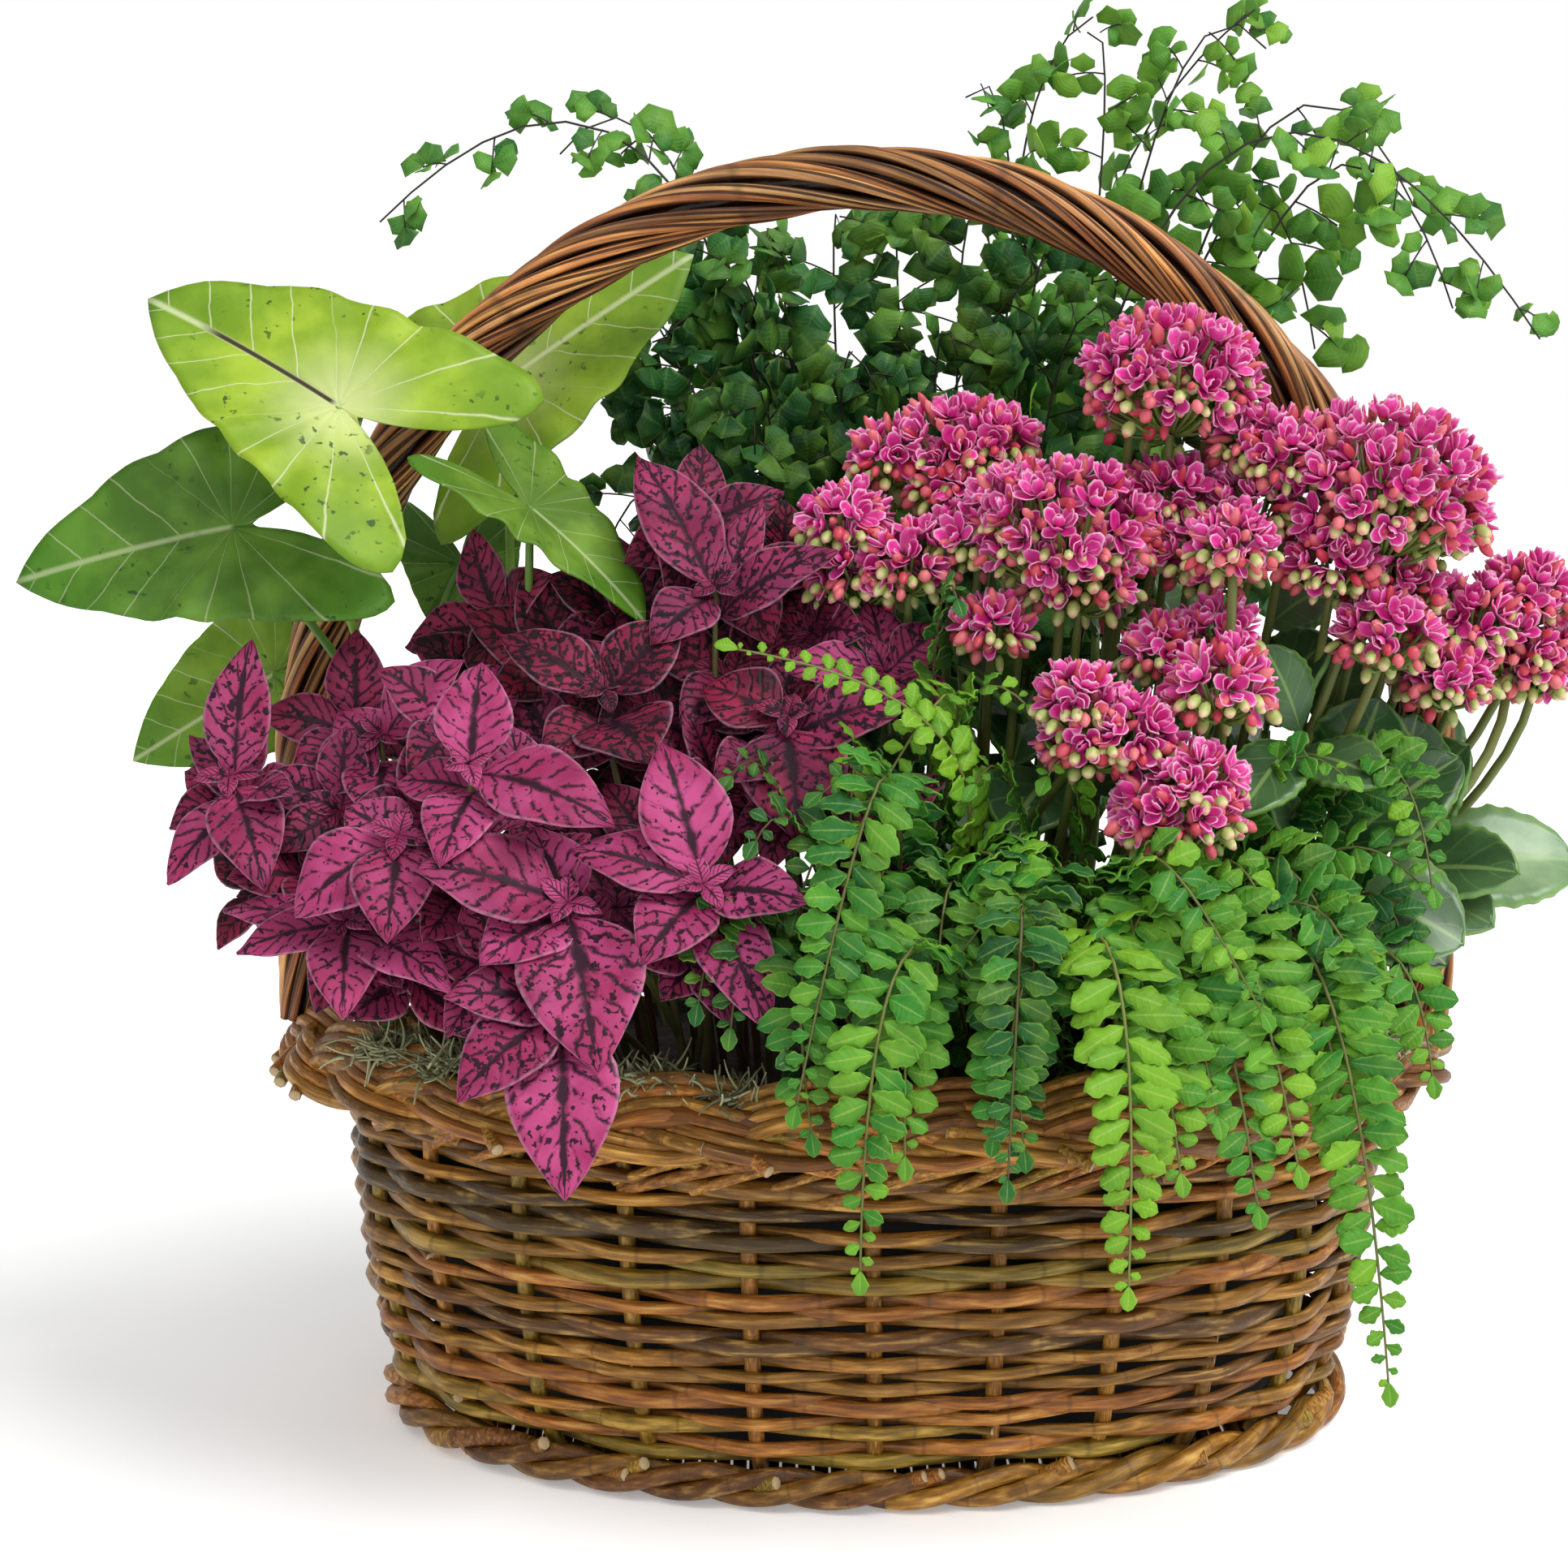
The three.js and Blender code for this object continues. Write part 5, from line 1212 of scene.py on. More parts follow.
# %% Florets and buds
def florets(bundle, heart, way):
    """Three whorls of petals about each floret's axis: outer ones lean out, inner ones stand nearly upright."""
    count = len(heart)
    across = unit(np.cross(way, np.array([0.13, 0.21, 1.0])))
    up = np.cross(way, across)
    for petals, tilt, length, width in ((4, 56, 6.6, 4.6), (3, 32, 6.5, 4.2), (2, 12, 6.0, 3.4)):
        angle = (TURN * np.arange(petals)[None, :] / petals + rng.uniform(0, TURN, (count, 1))
                 + rng.normal(0, 0.2, (count, petals)))
        lean = np.radians(tilt + rng.normal(0, 10, (count, petals)))
        radial = np.cos(angle)[..., None] * across[:, None] + np.sin(angle)[..., None] * up[:, None]
        out = np.sin(lean)[..., None] * radial + np.cos(lean)[..., None] * way[:, None]
        base = heart[:, None] + radial * 0.5
        size = length * rng.uniform(0.82, 1.18, (count, petals, 1))
        base, tip = base.reshape(-1, 3), (base + out * size).reshape(-1, 3)
        inward = (np.cos(lean)[..., None] * -radial + np.sin(lean)[..., None] * way[:, None]).reshape(-1, 3)
        grids = leaves(base, tip, inward, width * rng.uniform(0.8, 1.15, len(base)), petal, 4, 4, arch=-0.14,
                       fold=0.55)
        shade = rng.uniform(0, 1, len(base))
        bundle.add(grids, sheet_uv(4, 4), tint_of(shade))


def buds(bundle, foot_place, way, length, radius, kind):
    """Buds: the radius swells from the base and closes to a blunt point, as the square root of a sine."""
    t = np.linspace(0, 1, 6)
    path = foot_place[:, None] + way[:, None] * length[:, None, None] * t[None, :, None]
    swell = np.sin(np.pi * np.clip(0.1 + 0.86 * t, 0, 1)) ** 0.6
    bundle.add_tubes(path, radius[:, None] * swell, 6, np.array([0.2, 0.1, 1.0]),
                     tint_of(kind, rng.uniform(0, 1, len(kind))))


# %% [markdown]
# ## Kalanchoe finishes
# The petals are magenta with a painted highlight on their edge and painted shade at their base, some paler than
# others. Standing buds are coral and green at the foot, and hanging ones green-cream. All of it follows each
# petal's or bud's own length, so U and V of the UV map draw it.


# %% Petals and buds
def petal_finish():
    finish = Finish("kalanchoe_petal")
    u, v = finish.uv()
    shade, _, _ = finish.tint()
    off = finish.off_middle(v)
    base = finish.mix(shade, "#cc1e84", "#f04cb0")
    # Painted shade at the petal's base, in the heart of the floret
    base = finish.mix(finish.ramp(u, 0.3, 0.0), base, "#7e0a44")
    # The pale edge is a painted highlight, stronger on paler petals
    rim = finish.maths("MAXIMUM", finish.ramp(off, 0.72, 1.0), finish.ramp(u, 0.86, 1.0))
    rim = rim * (0.15 + shade * 0.7)
    base = finish.mix(rim, base, "#fbd3e4")
    return finish.done(base, 0.45, finish.noise(600.0), 0.12)


def bud_finish():
    finish = Finish("kalanchoe_bud")
    u, _ = finish.uv()
    kind, shade, _ = finish.tint()
    coral = finish.mix(shade, "#c8344e", "#ea7d84")
    coral = finish.mix(finish.ramp(u, 0.3, 0.0), coral, "#7d8a3c")
    cream = finish.mix(finish.ramp(u, 0.55, 1.0), "#a9b864", "#f1dcae")
    cream = finish.mix(finish.ramp(u, 0.8, 1.0) * shade, cream, "#e58f86")
    return finish.done(finish.mix(kind, coral, cream), 0.42)


# %% Flower heads of the plant
# Further heads between the CAD model's: picture place, depth and radius
HEAD_FILL = [
    (1175, 590, -30, 15), (1265, 625, -52, 17), (1330, 705, -56, 17), (1205, 660, -46, 14),
    (1385, 650, -40, 15), (1440, 610, -36, 15), (1490, 680, -44, 15), (1590, 560, -46, 15),
    (1700, 590, -52, 17), (1770, 640, -44, 15), (1640, 690, -56, 14), (1720, 720, -44, 14),
    (1810, 760, -34, 15), (1880, 730, -26, 14), (1890, 820, -28, 12), (1770, 820, -34, 12),
    (1100, 560, -26, 13), (1040, 640, -40, 13), (1120, 690, -46, 14), (1395, 450, -40, 13),
    (1490, 455, -36, 14), (1500, 780, -62, 12), (1430, 800, -66, 11), (1330, 860, -96, 12),
    (1400, 905, -98, 13), (1475, 960, -104, 13), (1420, 1010, -104, 10), (1545, 620, -44, 13),
    (1230, 540, -30, 12),
]


def head_of_florets(petals, bud_bundle, stalks, middle, radius):
    """One ball: florets over its top and sides, coral buds between them and pale buds under its edge, each on a
    short stalk that leaves the fork below the middle."""
    flatten = np.array([1, 1, HEAD_FLATTEN])
    fork = middle - [0, 0, radius * FORK_DROP]
    way = round_the_ball(int(round((radius / FLORET) ** 2 * 3.4)) + 3, HEAD_COVER, rng.uniform(0, TURN))
    heart = middle + way * flatten * (radius - 5.4) + rng.normal(0, 0.7, way.shape)
    florets(petals, heart, unit(way * [1, 1, 1.1] + [0, -0.15, 0.35]))
    between = round_the_ball(int(len(way) * 2.4), HEAD_COVER * 1.04, 2.2)
    between = between[rng.uniform(size=len(between)) < 0.62]
    low = middle + between * flatten * (radius - 5.6)
    buds(bud_bundle, low, unit(between + [0, -0.1, 0.4] + rng.normal(0, 0.2, between.shape)),
         rng.uniform(5.0, 7.6, len(low)), rng.uniform(1.1, 1.7, len(low)), np.zeros(len(low)))
    rim = unit(round_the_ball(int(10 + radius * 1.5), 0.75, 1.1) * [1, 1, -0.45] + [0, -0.12, -0.12])
    hang = middle + rim * flatten * radius * rng.uniform(0.72, 1.0, (len(rim), 1))
    buds(bud_bundle, hang, unit(rim + [0, 0, -0.3]), rng.uniform(3.2, 5.2, len(rim)),
         rng.uniform(1.3, 2.0, len(rim)), (rng.uniform(size=len(rim)) < 0.6) * 1.0)
    ends = np.concatenate([heart, hang])
    t = np.linspace(0, 1, 4)[None, :, None]
    path = fork + (ends - fork)[:, None] * t + (1 - t) * t * np.array([0, 0, -6.0])
    stalks.add_tubes(path, 0.55, 4, np.array([0.1, 0.2, 1.0]), tint_of(0.1))


def kalanchoe_heads():
    petals, bud_bundle, stalks, misses = Bundle(), Bundle(), Bundle(), []
    nodes = numbered("kalanchoe_head", HEAD_BALLS, 2)
    for node, balls in zip(nodes, HEAD_BALLS):
        x, y, z, first = balls[0]
        curve, miss = followed_stem(corners_of(node), np.array([x, y, z - 0.3 * first]), np.zeros(3), 1.5)
        misses.append(miss)
        thin_stem(stalks, curve, 1.9, 1.4, 0.4)
        for ball_x, ball_y, ball_z, radius in balls:
            head_of_florets(petals, bud_bundle, stalks, np.array([ball_x, ball_y, ball_z], float), radius)
    print("kalanchoe stalks off the CAD by", np.round(misses, 2))
    finish = petal_finish()
    petals.piece("kalanchoe_petals", finish, "kalanchoe_flower", nodes, thickness=0.25)
    inner = Bundle()
    for px, py, depth, radius in HEAD_FILL:
        middle = seen(px, py, depth)
        head_of_florets(inner, bud_bundle, stalks, middle, radius)
        root = np.array([np.clip(middle[0] * 0.8, 10, 112), -24.0, FOOT_Z_OF_STEMS])
        top = middle - [0, 0, radius * FORK_DROP]
        thin_stem(stalks, stem_curve(root, (root + top) / 2 + [0, 14, 0], top), 1.8, 1.3, 0.3, 14, 6)
    inner.piece("kalanchoe_inner_petals", finish, "kalanchoe_flower", thickness=0.25)
    bud_bundle.piece("kalanchoe_buds", bud_finish(), "kalanchoe_bud")
    return stalks


kalanchoe_stalks = kalanchoe_heads()

# %% [markdown]
# ## Kalanchoe leaves
# The leaves are thick, broad, scalloped and glossy. They are the same sheets as before with another outline,
# made thick by a Solidify modifier, which saves working out the underside. The CAD leaves come first, then
# the ones between them.

# %% Kalanchoe leaves
KALANCHOE_STEMS = [
    ((119, -57, 207), [(80, -82, 206, 20), (106, -62, 232, 18), (138, -74, 196, 20)]),
    ((122, -56, 168), [(160, -76, 152, 33), (140, -36, 214, 26), (104, -86, 160, 24)]),
    ((148, -28, 162), [(203, -24, 166, 34), (178, -42, 188, 28), (160, -64, 148, 26)]),
    ((40, -34, 196), [(12, -56, 168, 28), (38, -66, 164, 28), (62, -58, 184, 24), (20, 0, 206, 24)]),
]
# Further leaves: picture place and depth of the base and of the tip, width
KALANCHOE_FILL = [
    (1420, 960, -20, 1500, 850, -55, 24), (1560, 900, -20, 1640, 790, -45, 26),
    (1330, 1040, -10, 1280, 930, -30, 28), (1400, 1060, -10, 1450, 950, -30, 28),
    (1250, 1040, 0, 1210, 930, -10, 28), (1350, 990, 10, 1390, 870, 0, 28),
    (1200, 1000, 0, 1140, 900, -10, 26), (1480, 1000, 0, 1560, 930, -10, 28),
    (1540, 940, 10, 1500, 850, 0, 26), (1620, 900, 10, 1680, 800, 0, 26),
    (1690, 1010, -20, 1745, 880, -30, 28), (1730, 1030, -14, 1810, 920, -30, 26),
    (1650, 980, -30, 1700, 860, -44, 28), (1600, 1060, -40, 1560, 960, -60, 26),
    (1600, 1000, -20, 1700, 880, -40, 26), (1450, 1000, -10, 1390, 900, -50, 24),
    (1250, 900, -10, 1180, 820, -40, 26), (1300, 960, -20, 1240, 1030, -60, 26),
    (1500, 1060, -30, 1600, 1130, -70, 28), (1640, 1100, -20, 1780, 1190, -40, 30),
    (1350, 780, 0, 1300, 700, -20, 26), (1500, 780, 10, 1420, 700, 0, 26),
    (1150, 1000, -20, 1080, 950, -56, 26), (1560, 780, 20, 1650, 720, 10, 24),
    (1700, 960, 10, 1790, 880, 20, 26), (1400, 1100, -40, 1320, 1180, -84, 26),
]


def glossy_leaf_finish():
    finish = Finish("kalanchoe_blade")
    u, v = finish.uv()
    shade, _, _ = finish.tint()
    off = finish.off_middle(v)
    mottle = finish.ramp(finish.noise(60.0, 4.0), 0.3, 0.7)
    dark = finish.mix(mottle, "#1f4220", "#33602c")
    light = finish.mix(mottle, "#6f9464", "#9db98a")
    base = finish.mix(shade, dark, light)
    veins = finish.comb(u * 5.0 - off * 1.4, 0.08)
    rib = finish.ramp(off, 0.09, 0.03)
    pattern = finish.maths("MAXIMUM", rib, veins * 0.35)
    base = finish.mix(pattern * 0.4, base, "#9fbf6a")
    base = finish.mix(finish.ramp(off, 0.86, 1.0) * 0.55, base, "#7fae4e")
    return finish.done(base, 0.32, finish.noise(140.0), 0.12)


def kalanchoe_leaves(stalks):
    blades, misses = Bundle(), []
    nodes = numbered("kalanchoe_stem", KALANCHOE_STEMS)
    rows, columns = 40, 9  # enough rows for the scallops
    for node, (crown, tips) in zip(nodes, KALANCHOE_STEMS):
        found, miss = leafy_node(node, crown, tips, 1.8, FACE, stalks, 0.2)
        misses.append((miss, max(off for *_, off in found)))
        base, tip = (np.array([f[i] for f in found]) for i in (0, 1))
        width = np.array([f[2] for f in found]) * 1.06
        grids = leaves(base, tip, FACE, width, scalloped, rows, columns, arch=0.08, fold=0.16, wave=0.01)
        shade = np.where(tip[:, 0] > 195, 0.9, rng.uniform(0.0, 0.35, len(tip)))
        blades.add(grids, sheet_uv(rows, columns), tint_of(shade))
    for entry in KALANCHOE_FILL:
        base, tip = seen(*entry[:3]), seen(*entry[3:6])
        facing = unit(np.array([rng.normal(0, 0.25), -0.7, 0.7]))
        grids = leaves(base[None], tip[None], facing[None], entry[6] * 1.1, scalloped, rows, columns, arch=0.1,
                       fold=0.16, wave=0.012, phase=rng.uniform(0, TURN, 1))
        blades.add(grids, sheet_uv(rows, columns), tint_of(rng.uniform(0.0, 0.3)))
        root = np.array([np.clip(base[0] * 0.8, -40, 110), -20 + base[1] * 0.2, FOOT_Z_OF_STEMS])
        thin_stem(stalks, stem_curve(root, (root + base) / 2, base), 2.0, 1.4, 0.2)
    print("kalanchoe stems and leaves off the CAD by", np.round(misses, 2).tolist())
    blades.piece("kalanchoe_leaves", glossy_leaf_finish(), "kalanchoe_leaf", nodes, thickness=1.6)
    stalks.piece("kalanchoe_stalks", stalk_finish("kalanchoe_stalk", "#6f8f3c", "#8a6a4a"), "kalanchoe_stem")


kalanchoe_leaves(kalanchoe_stalks)

# %% [markdown]
# ## Button fern
# A button fern's frond is a rib with rounded leaflets in two rows, longest below the middle. Each follows the
# CAD frond's own curve, which is found by the points of its rib, and its leaflets keep that frond's outline.
# More fronds hang between them, and short fronds darkened as painted shade fill the plant near the soil, so
# that no gap shows through.

# %% Fronds of the CAD model
FERN_FRONDS = [
    # middle, tip, longest leaflet, colour from yellow-green to dark
    ((0, -104, 191), (-21, -146, 124), 14, 0.5), ((18, -114, 157), (-5, -156, 84), 14, 0.35),
    ((50, -114, 158), (62, -156, 80), 16, 0.1), ((100, -106, 150), (130, -144, 51), 15, 0.35),
    ((66, -106, 164), (97, -136, 146), 12, 0.4), ((107, -70, 170), (149, -88, 169), 14, 0.5),
    ((25, -84, 178), (-37, -98, 235), 10, 0.1), ((20, -84, 184), (-5, -106, 188), 10, 0.15),
    ((38, -118, 158), (32, -150, 106), 13, 0.75), ((96, -88, 155), (130, -106, 132), 13, 0.5),
]
MAIDENHAIR_FRONDS = [
    ((-33, 62, 304), (-146, 52, 349), 13, 0.5), ((-21, 56, 211), (-69, 46, 330), 20, 0.9),
    ((-12, 70, 232), (-40, 58, 340), 22, 0.9), ((22, 66, 225), (56, 58, 338), 22, 0.8),
    ((45, 84, 294), (71, 80, 412), 20, 0.3), ((60, 92, 284), (122, 88, 415), 20, 0.3),
    ((74, 60, 310), (204, 46, 314), 15, 0.4), ((10, 100, 220), (-30, 140, 170), 20, 0.7),
    ((84, 96, 190), (104, 126, 160), 20, 0.7),
]


# %% Ribs
def rib_places(curve, shares, face):
    """Points of a rib with the directions along, out of and across the frond. The last faces the given way, and
    each one before it faces as its follower does, made square to its own direction."""
    points = along(curve, shares)
    forward = unit(along(curve, np.minimum(shares + 0.005, 1)) - along(curve, np.maximum(shares - 0.005, 0)))
    normal = np.empty_like(points)
    for index in range(len(points) - 1, -1, -1):
        _, face, _, _ = leaf_frame(points[index], points[index] + forward[index], face)
        normal[index] = face
    return points, forward, normal, np.cross(forward, normal)


def followed_frond(corners, middle, tip, bare, face):
    """Of the curves that a frond may take, the one whose rib points are corners of the node."""
    root = root_of(corners)
    shares = bare + (1 - bare) * np.arange(8) / 7
    best, best_miss = None, np.inf
    for across in BENDS:
        for deep in BENDS:
            curve = stem_curve(root, np.array(middle, float) + [across, deep * 0.5, abs(deep) * 0.3], tip)
            points, _, normal, _ = rib_places(curve, shares, face)
            miss = nearest((points + normal * 0.7)[1:7], corners).max()
            if miss < best_miss:
                best, best_miss = curve, miss
    return best, best_miss


# %% Button fern fronds
def rounded(u):
    """A leaflet that is broadest past the middle, with shallow lobes on each side and a rounded end."""
    body = np.sin(np.pi * np.clip(u, 0, 1) ** 1.2) ** 0.72
    return np.maximum(body * (0.74 + 0.26 * np.abs(np.sin(u * 8.0 + 0.6))), 0.06)


def button_frond(bundle, ribs, curve, length, bare, kind, face, pitch=5.8, rows=9):
    """Leaflets in two rows: their length follows the sine that the CAD frond's outline follows."""
    blade = np.linalg.norm(np.diff(curve, axis=0), axis=1).sum() * (1 - bare)
    pairs = int(blade / pitch)
    share = (np.arange(pairs) + 0.5) / pairs
    points, forward, normal, side = rib_places(curve, bare + (1 - bare) * share, face)
    size = length * np.sin(np.pi * (0.26 + 0.7 * share)) ** 0.8 * (1.05 - 0.2 * share)
    for hand in (-1, 1):
        spread = rng.normal(0, 0.12, (pairs, 1))
        way = unit(side * hand + forward * (0.38 + spread) + normal * rng.normal(0.04, 0.26, (pairs, 1)))
        base = points + side * hand * 0.3 + forward * (hand * pitch * 0.24)
        reach = size * rng.uniform(0.78, 1.08, pairs)
        tilt = unit(normal + rng.normal(0, 0.24, normal.shape))
        wide = np.minimum(pitch * rng.uniform(1.15, 1.5, pairs), reach * 0.8)
        grids = leaves(base, base + way * reach[:, None], tilt, wide, rounded, rows, 5, arch=0.1,
                       fold=rng.choice([-0.3, 0.2]), wave=0.05, phase=rng.uniform(0, TURN, pairs))
        shade = np.clip(kind + rng.normal(0, 0.09, pairs) - 0.2 * share, 0, 1)
        bundle.add(grids, sheet_uv(rows, 5), tint_of(shade, rng.uniform(0, 1, pairs)))
    end = curve[-1:] - forward[-1:]
    tip_grid = leaves(end, end + forward[-1:] * pitch * 1.1, normal[-1:], pitch * 0.8, rounded, 9, 5)
    bundle.add(tip_grid, sheet_uv(9, 5), tint_of(max(kind - 0.2, 0), 0.5))
    thin_stem(ribs, curve, 0.9, 0.3, kind, rows=30, sides=5)


# %% [markdown]
# ## Fern finish
# Fern leaflets are thin and matt, yellow-green at the tips of young fronds and dark at the heart of the plant,
# where the dark is painted shade. One finish serves both ferns: a row of colours read by the leaflet's own
# tint, a paler rib, a pale edge that is a painted highlight, and fine side veins as relief.


# %% Fern finish
def fern_finish(name, stops, rib_shade):
    finish = Finish(name)
    u, v = finish.uv()
    kind, shade, _ = finish.tint()
    off = finish.off_middle(v)
    base = finish.colours(kind, stops)
    base = finish.mix(shade * 0.25, base, "#12380f")
    base = finish.mix(finish.ramp(finish.noise(60.0), 0.4, 0.75) * 0.3, base, "#9ccc3a")
    rib = finish.ramp(off, 0.12, 0.03)
    base = finish.mix(rib * 0.2, base, rib_shade)
    # A pale edge on each leaflet: painted highlight
    base = finish.mix(finish.ramp(off, 0.8, 1.0) * 0.25, base, "#9fd04a")
    fine = finish.comb(u * 7.0 - off, 0.3)
    height = fine * 0.4 + off
    return finish.done(base, 0.55, height, 0.3, 0.0006, **{"Specular IOR Level": 0.3})


FERN_STOPS = [(0, "#76ac22"), (0.3, "#378624"), (0.6, "#1a5e28"), (1.0, "#0d3619")]

# %% Further button fern fronds
# Root (X, Y), picture place and depth of the middle and of the tip, longest leaflet, colour
FERN_FILL = [
    ((14, -58), (1150, 830, -60), (1180, 742, -74), 13, 0.75),
    ((30, -60), (1180, 930, -72), (1268, 872, -92), 13, 0.3),
    ((20, -62), (1080, 960, -76), (1048, 1020, -96), 12, 0.25),
    ((40, -66), (1200, 1060, -96), (1330, 1215, -128), 16, 0.35),
    ((44, -64), (1240, 1130, -104), (1262, 1420, -146), 17, 0.7),
    ((80, -60), (1530, 1000, -70), (1660, 960, -84), 15, 0.4),
    ((84, -62), (1540, 1060, -84), (1700, 1280, -120), 16, 0.45),
    ((60, -66), (1380, 1080, -100), (1550, 1240, -130), 17, 0.35),
    ((70, -64), (1420, 1130, -108), (1500, 1380, -142), 18, 0.5),
    ((10, -64), (1010, 1060, -92), (930, 1040, -112), 14, 0.8),
    ((90, -58), (1600, 1080, -70), (1750, 1090, -84), 15, 0.5),
    ((96, -60), (1600, 1150, -84), (1690, 1370, -122), 17, 0.35),
    ((24, -66), (1060, 1130, -106), (1110, 1330, -142), 17, 0.6),
    ((0, -62), (960, 1160, -104), (900, 1270, -128), 15, 0.75),
    ((60, -60), (1330, 1000, -84), (1290, 960, -100), 13, 0.4),
    ((50, -66), (1300, 1110, -104), (1180, 1180, -128), 16, 0.4),
    ((76, -66), (1440, 1100, -104), (1350, 1260, -138), 17, 0.3),
    ((100, -50), (1640, 1010, -50), (1770, 1010, -52), 15, 0.6),
    ((30, -62), (1130, 1020, -88), (1010, 980, -104), 12, 0.7),
    ((20, -60), (1100, 1090, -98), (1080, 1180, -120), 15, 0.55),
    ((6, -60), (980, 1010, -80), (900, 960, -96), 12, 0.85),
    ((12, -62), (1060, 1040, -88), (980, 1130, -112), 14, 0.8),
    ((34, -64), (1180, 1090, -104), (1150, 1280, -132), 15, 0.65),
    ((56, -64), (1300, 1080, -104), (1270, 1230, -130), 15, 0.8),
    ((68, -62), (1400, 1090, -104), (1430, 1260, -128), 15, 0.75),
    ((88, -62), (1560, 1100, -90), (1600, 1300, -118), 15, 0.7),
    ((98, -56), (1660, 1110, -66), (1740, 1220, -84), 14, 0.75),
    ((94, -54), (1620, 1040, -60), (1700, 960, -62), 13, 0.55),
    ((52, -60), (1260, 1010, -80), (1200, 970, -96), 12, 0.55),
    ((74, -58), (1480, 1080, -90), (1570, 1150, -112), 14, 0.35),
    ((-6, -64), (930, 1130, -100), (860, 1240, -124), 13, 0.8),
    ((44, -62), (1230, 1080, -98), (1310, 1130, -120), 14, 0.3),
    ((24, -66), (1130, 1200, -120), (1115, 1430, -147), 16, 0.4),
    ((64, -66), (1400, 1200, -122), (1455, 1450, -146), 17, 0.3),
    ((78, -64), (1480, 1200, -118), (1550, 1490, -140), 17, 0.4),
    ((88, -60), (1590, 1200, -104), (1660, 1450, -128), 16, 0.3),
    ((6, -66), (1000, 1190, -118), (1000, 1400, -146), 15, 0.6),
    ((46, -66), (1270, 1200, -122), (1225, 1400, -147), 16, 0.6),
    ((98, -52), (1680, 1170, -80), (1765, 1330, -98), 15, 0.4),
    ((82, -64), (1500, 1120, -110), (1600, 1440, -140), 16, 0.3),
    ((62, -66), (1380, 1120, -112), (1420, 1330, -142), 15, 0.45),
]


# %% Button fern
CAD_BARE, FERN_BARE, FERN_INNER_BARE, LOW_BARE = 0.4, 0.36, 0.42, 0.3  # share of a rib below its first leaflets


def button_fern():
    blades, ribs, misses = Bundle(), Bundle(), []
    nodes = numbered("fern_frond", FERN_FRONDS, 2)
    for node, (middle, tip, length, kind) in zip(nodes, FERN_FRONDS):
        curve, miss = followed_frond(corners_of(node), middle, np.array(tip, float), CAD_BARE, FACE)
        misses.append(miss)
        button_frond(blades, ribs, curve, length, FERN_BARE, kind, FACE, rows=11)
    print("fern ribs off the CAD by", np.round(misses, 2))
    finish = fern_finish("button_fern_blade", FERN_STOPS, "#c9dc7a")
    blades.piece("button_fern_leaflets", finish, "fern_leaf", nodes, thickness=0.4)
    fill = Bundle()
    for (root_x, root_y), middle, tip, length, kind in FERN_FILL:
        curve = arching((root_x, root_y, FOOT_Z_OF_FRONDS), seen(*middle), seen(*tip))
        button_frond(fill, ribs, curve, length, FERN_INNER_BARE, kind, FACE)
    fill.piece("button_fern_inner_leaflets", finish, "fern_leaf", thickness=0.4)
    low = Bundle()
    for place in np.linspace(0, 1, 26):  # short fronds, dark as painted shade, that fill the plant near the soil
        root = np.array([6 + 92 * place, rng.uniform(-66, -40), FOOT_Z_OF_FRONDS])
        reach = np.array([rng.normal(0, 18), rng.uniform(-48, -22), rng.uniform(22, 70)])
        curve = arching(root, root + reach * [0.5, 0.4, 1.1], root + reach)
        button_frond(low, ribs, curve, rng.uniform(10, 13), LOW_BARE, rng.uniform(0.6, 1.0), FACE, 6.4, 7)
    for angle in np.radians(np.linspace(-15, 205, 18)):  # and a few round the sides and the back
        root = np.array([100 * np.cos(angle), 64 * np.sin(angle), FOOT_Z_OF_FRONDS])
        reach = np.array([34 * np.cos(angle), 30 * np.sin(angle), 0]) + rng.normal(0, 7, 3) + [0, 0, 34]
        curve = arching(root, root + reach * [0.5, 0.5, 1.15], root + reach)
        face = unit(reach * [0.4, 0.4, 1])
        button_frond(low, ribs, curve, 12, LOW_BARE, rng.uniform(0.6, 1.0), face, 6.4, 7)
    low.piece("fern_undergrowth", finish, "fern_leaf", thickness=0.4)
    ribs.piece("button_fern_ribs", stalk_finish("fern_rib", "#7d8a3c", "#4a3a22"), "fern_stem")


button_fern()

# %% [markdown]
# ## Maidenhair fern
# A maidenhair's frond branches once more: thin dark side stems leave the rib, each with a few fan-shaped
# leaflets. A fan is drawn about its own base, as the arrowhead's blade is, because its far edge is an arc that
# is cut into lobes. The fronds follow the CAD model's in the same way as the button fern's do.


# %% Maidenhair fronds
def fan_leaflets(bundle, base, way, face, size, kind):
    """Fans about their base: the reach is longest in the middle, and the far edge is cut into lobes."""
    count = len(base)
    forward, normal, side, _ = (a[:, None, None, :] for a in leaf_frame(base, base + way, face))
    angle = np.radians(np.linspace(-62, 62, 7))[None, None, :, None]
    share = np.array([0.06, 0.6, 1.0])[None, :, None, None]
    lobes = 1 + 0.07 * np.cos(angle * 9 + rng.uniform(0, TURN, (count, 1, 1, 1)))
    reach = size[:, None, None, None] * share * np.cos(angle * 0.62) * lobes
    cup = 0.12 * size[:, None, None, None] * share**2 * np.cos(angle * 2.5)
    grids = (base[:, None, None, :] + forward * reach * np.cos(angle) + side * reach * np.sin(angle)
             + normal * cup)
    uv = np.stack(np.meshgrid(share.ravel(), np.linspace(0, 1, 7), indexing="ij"), -1)
    bundle.add(grids, uv, tint_of(kind, rng.uniform(0, 1, count)))


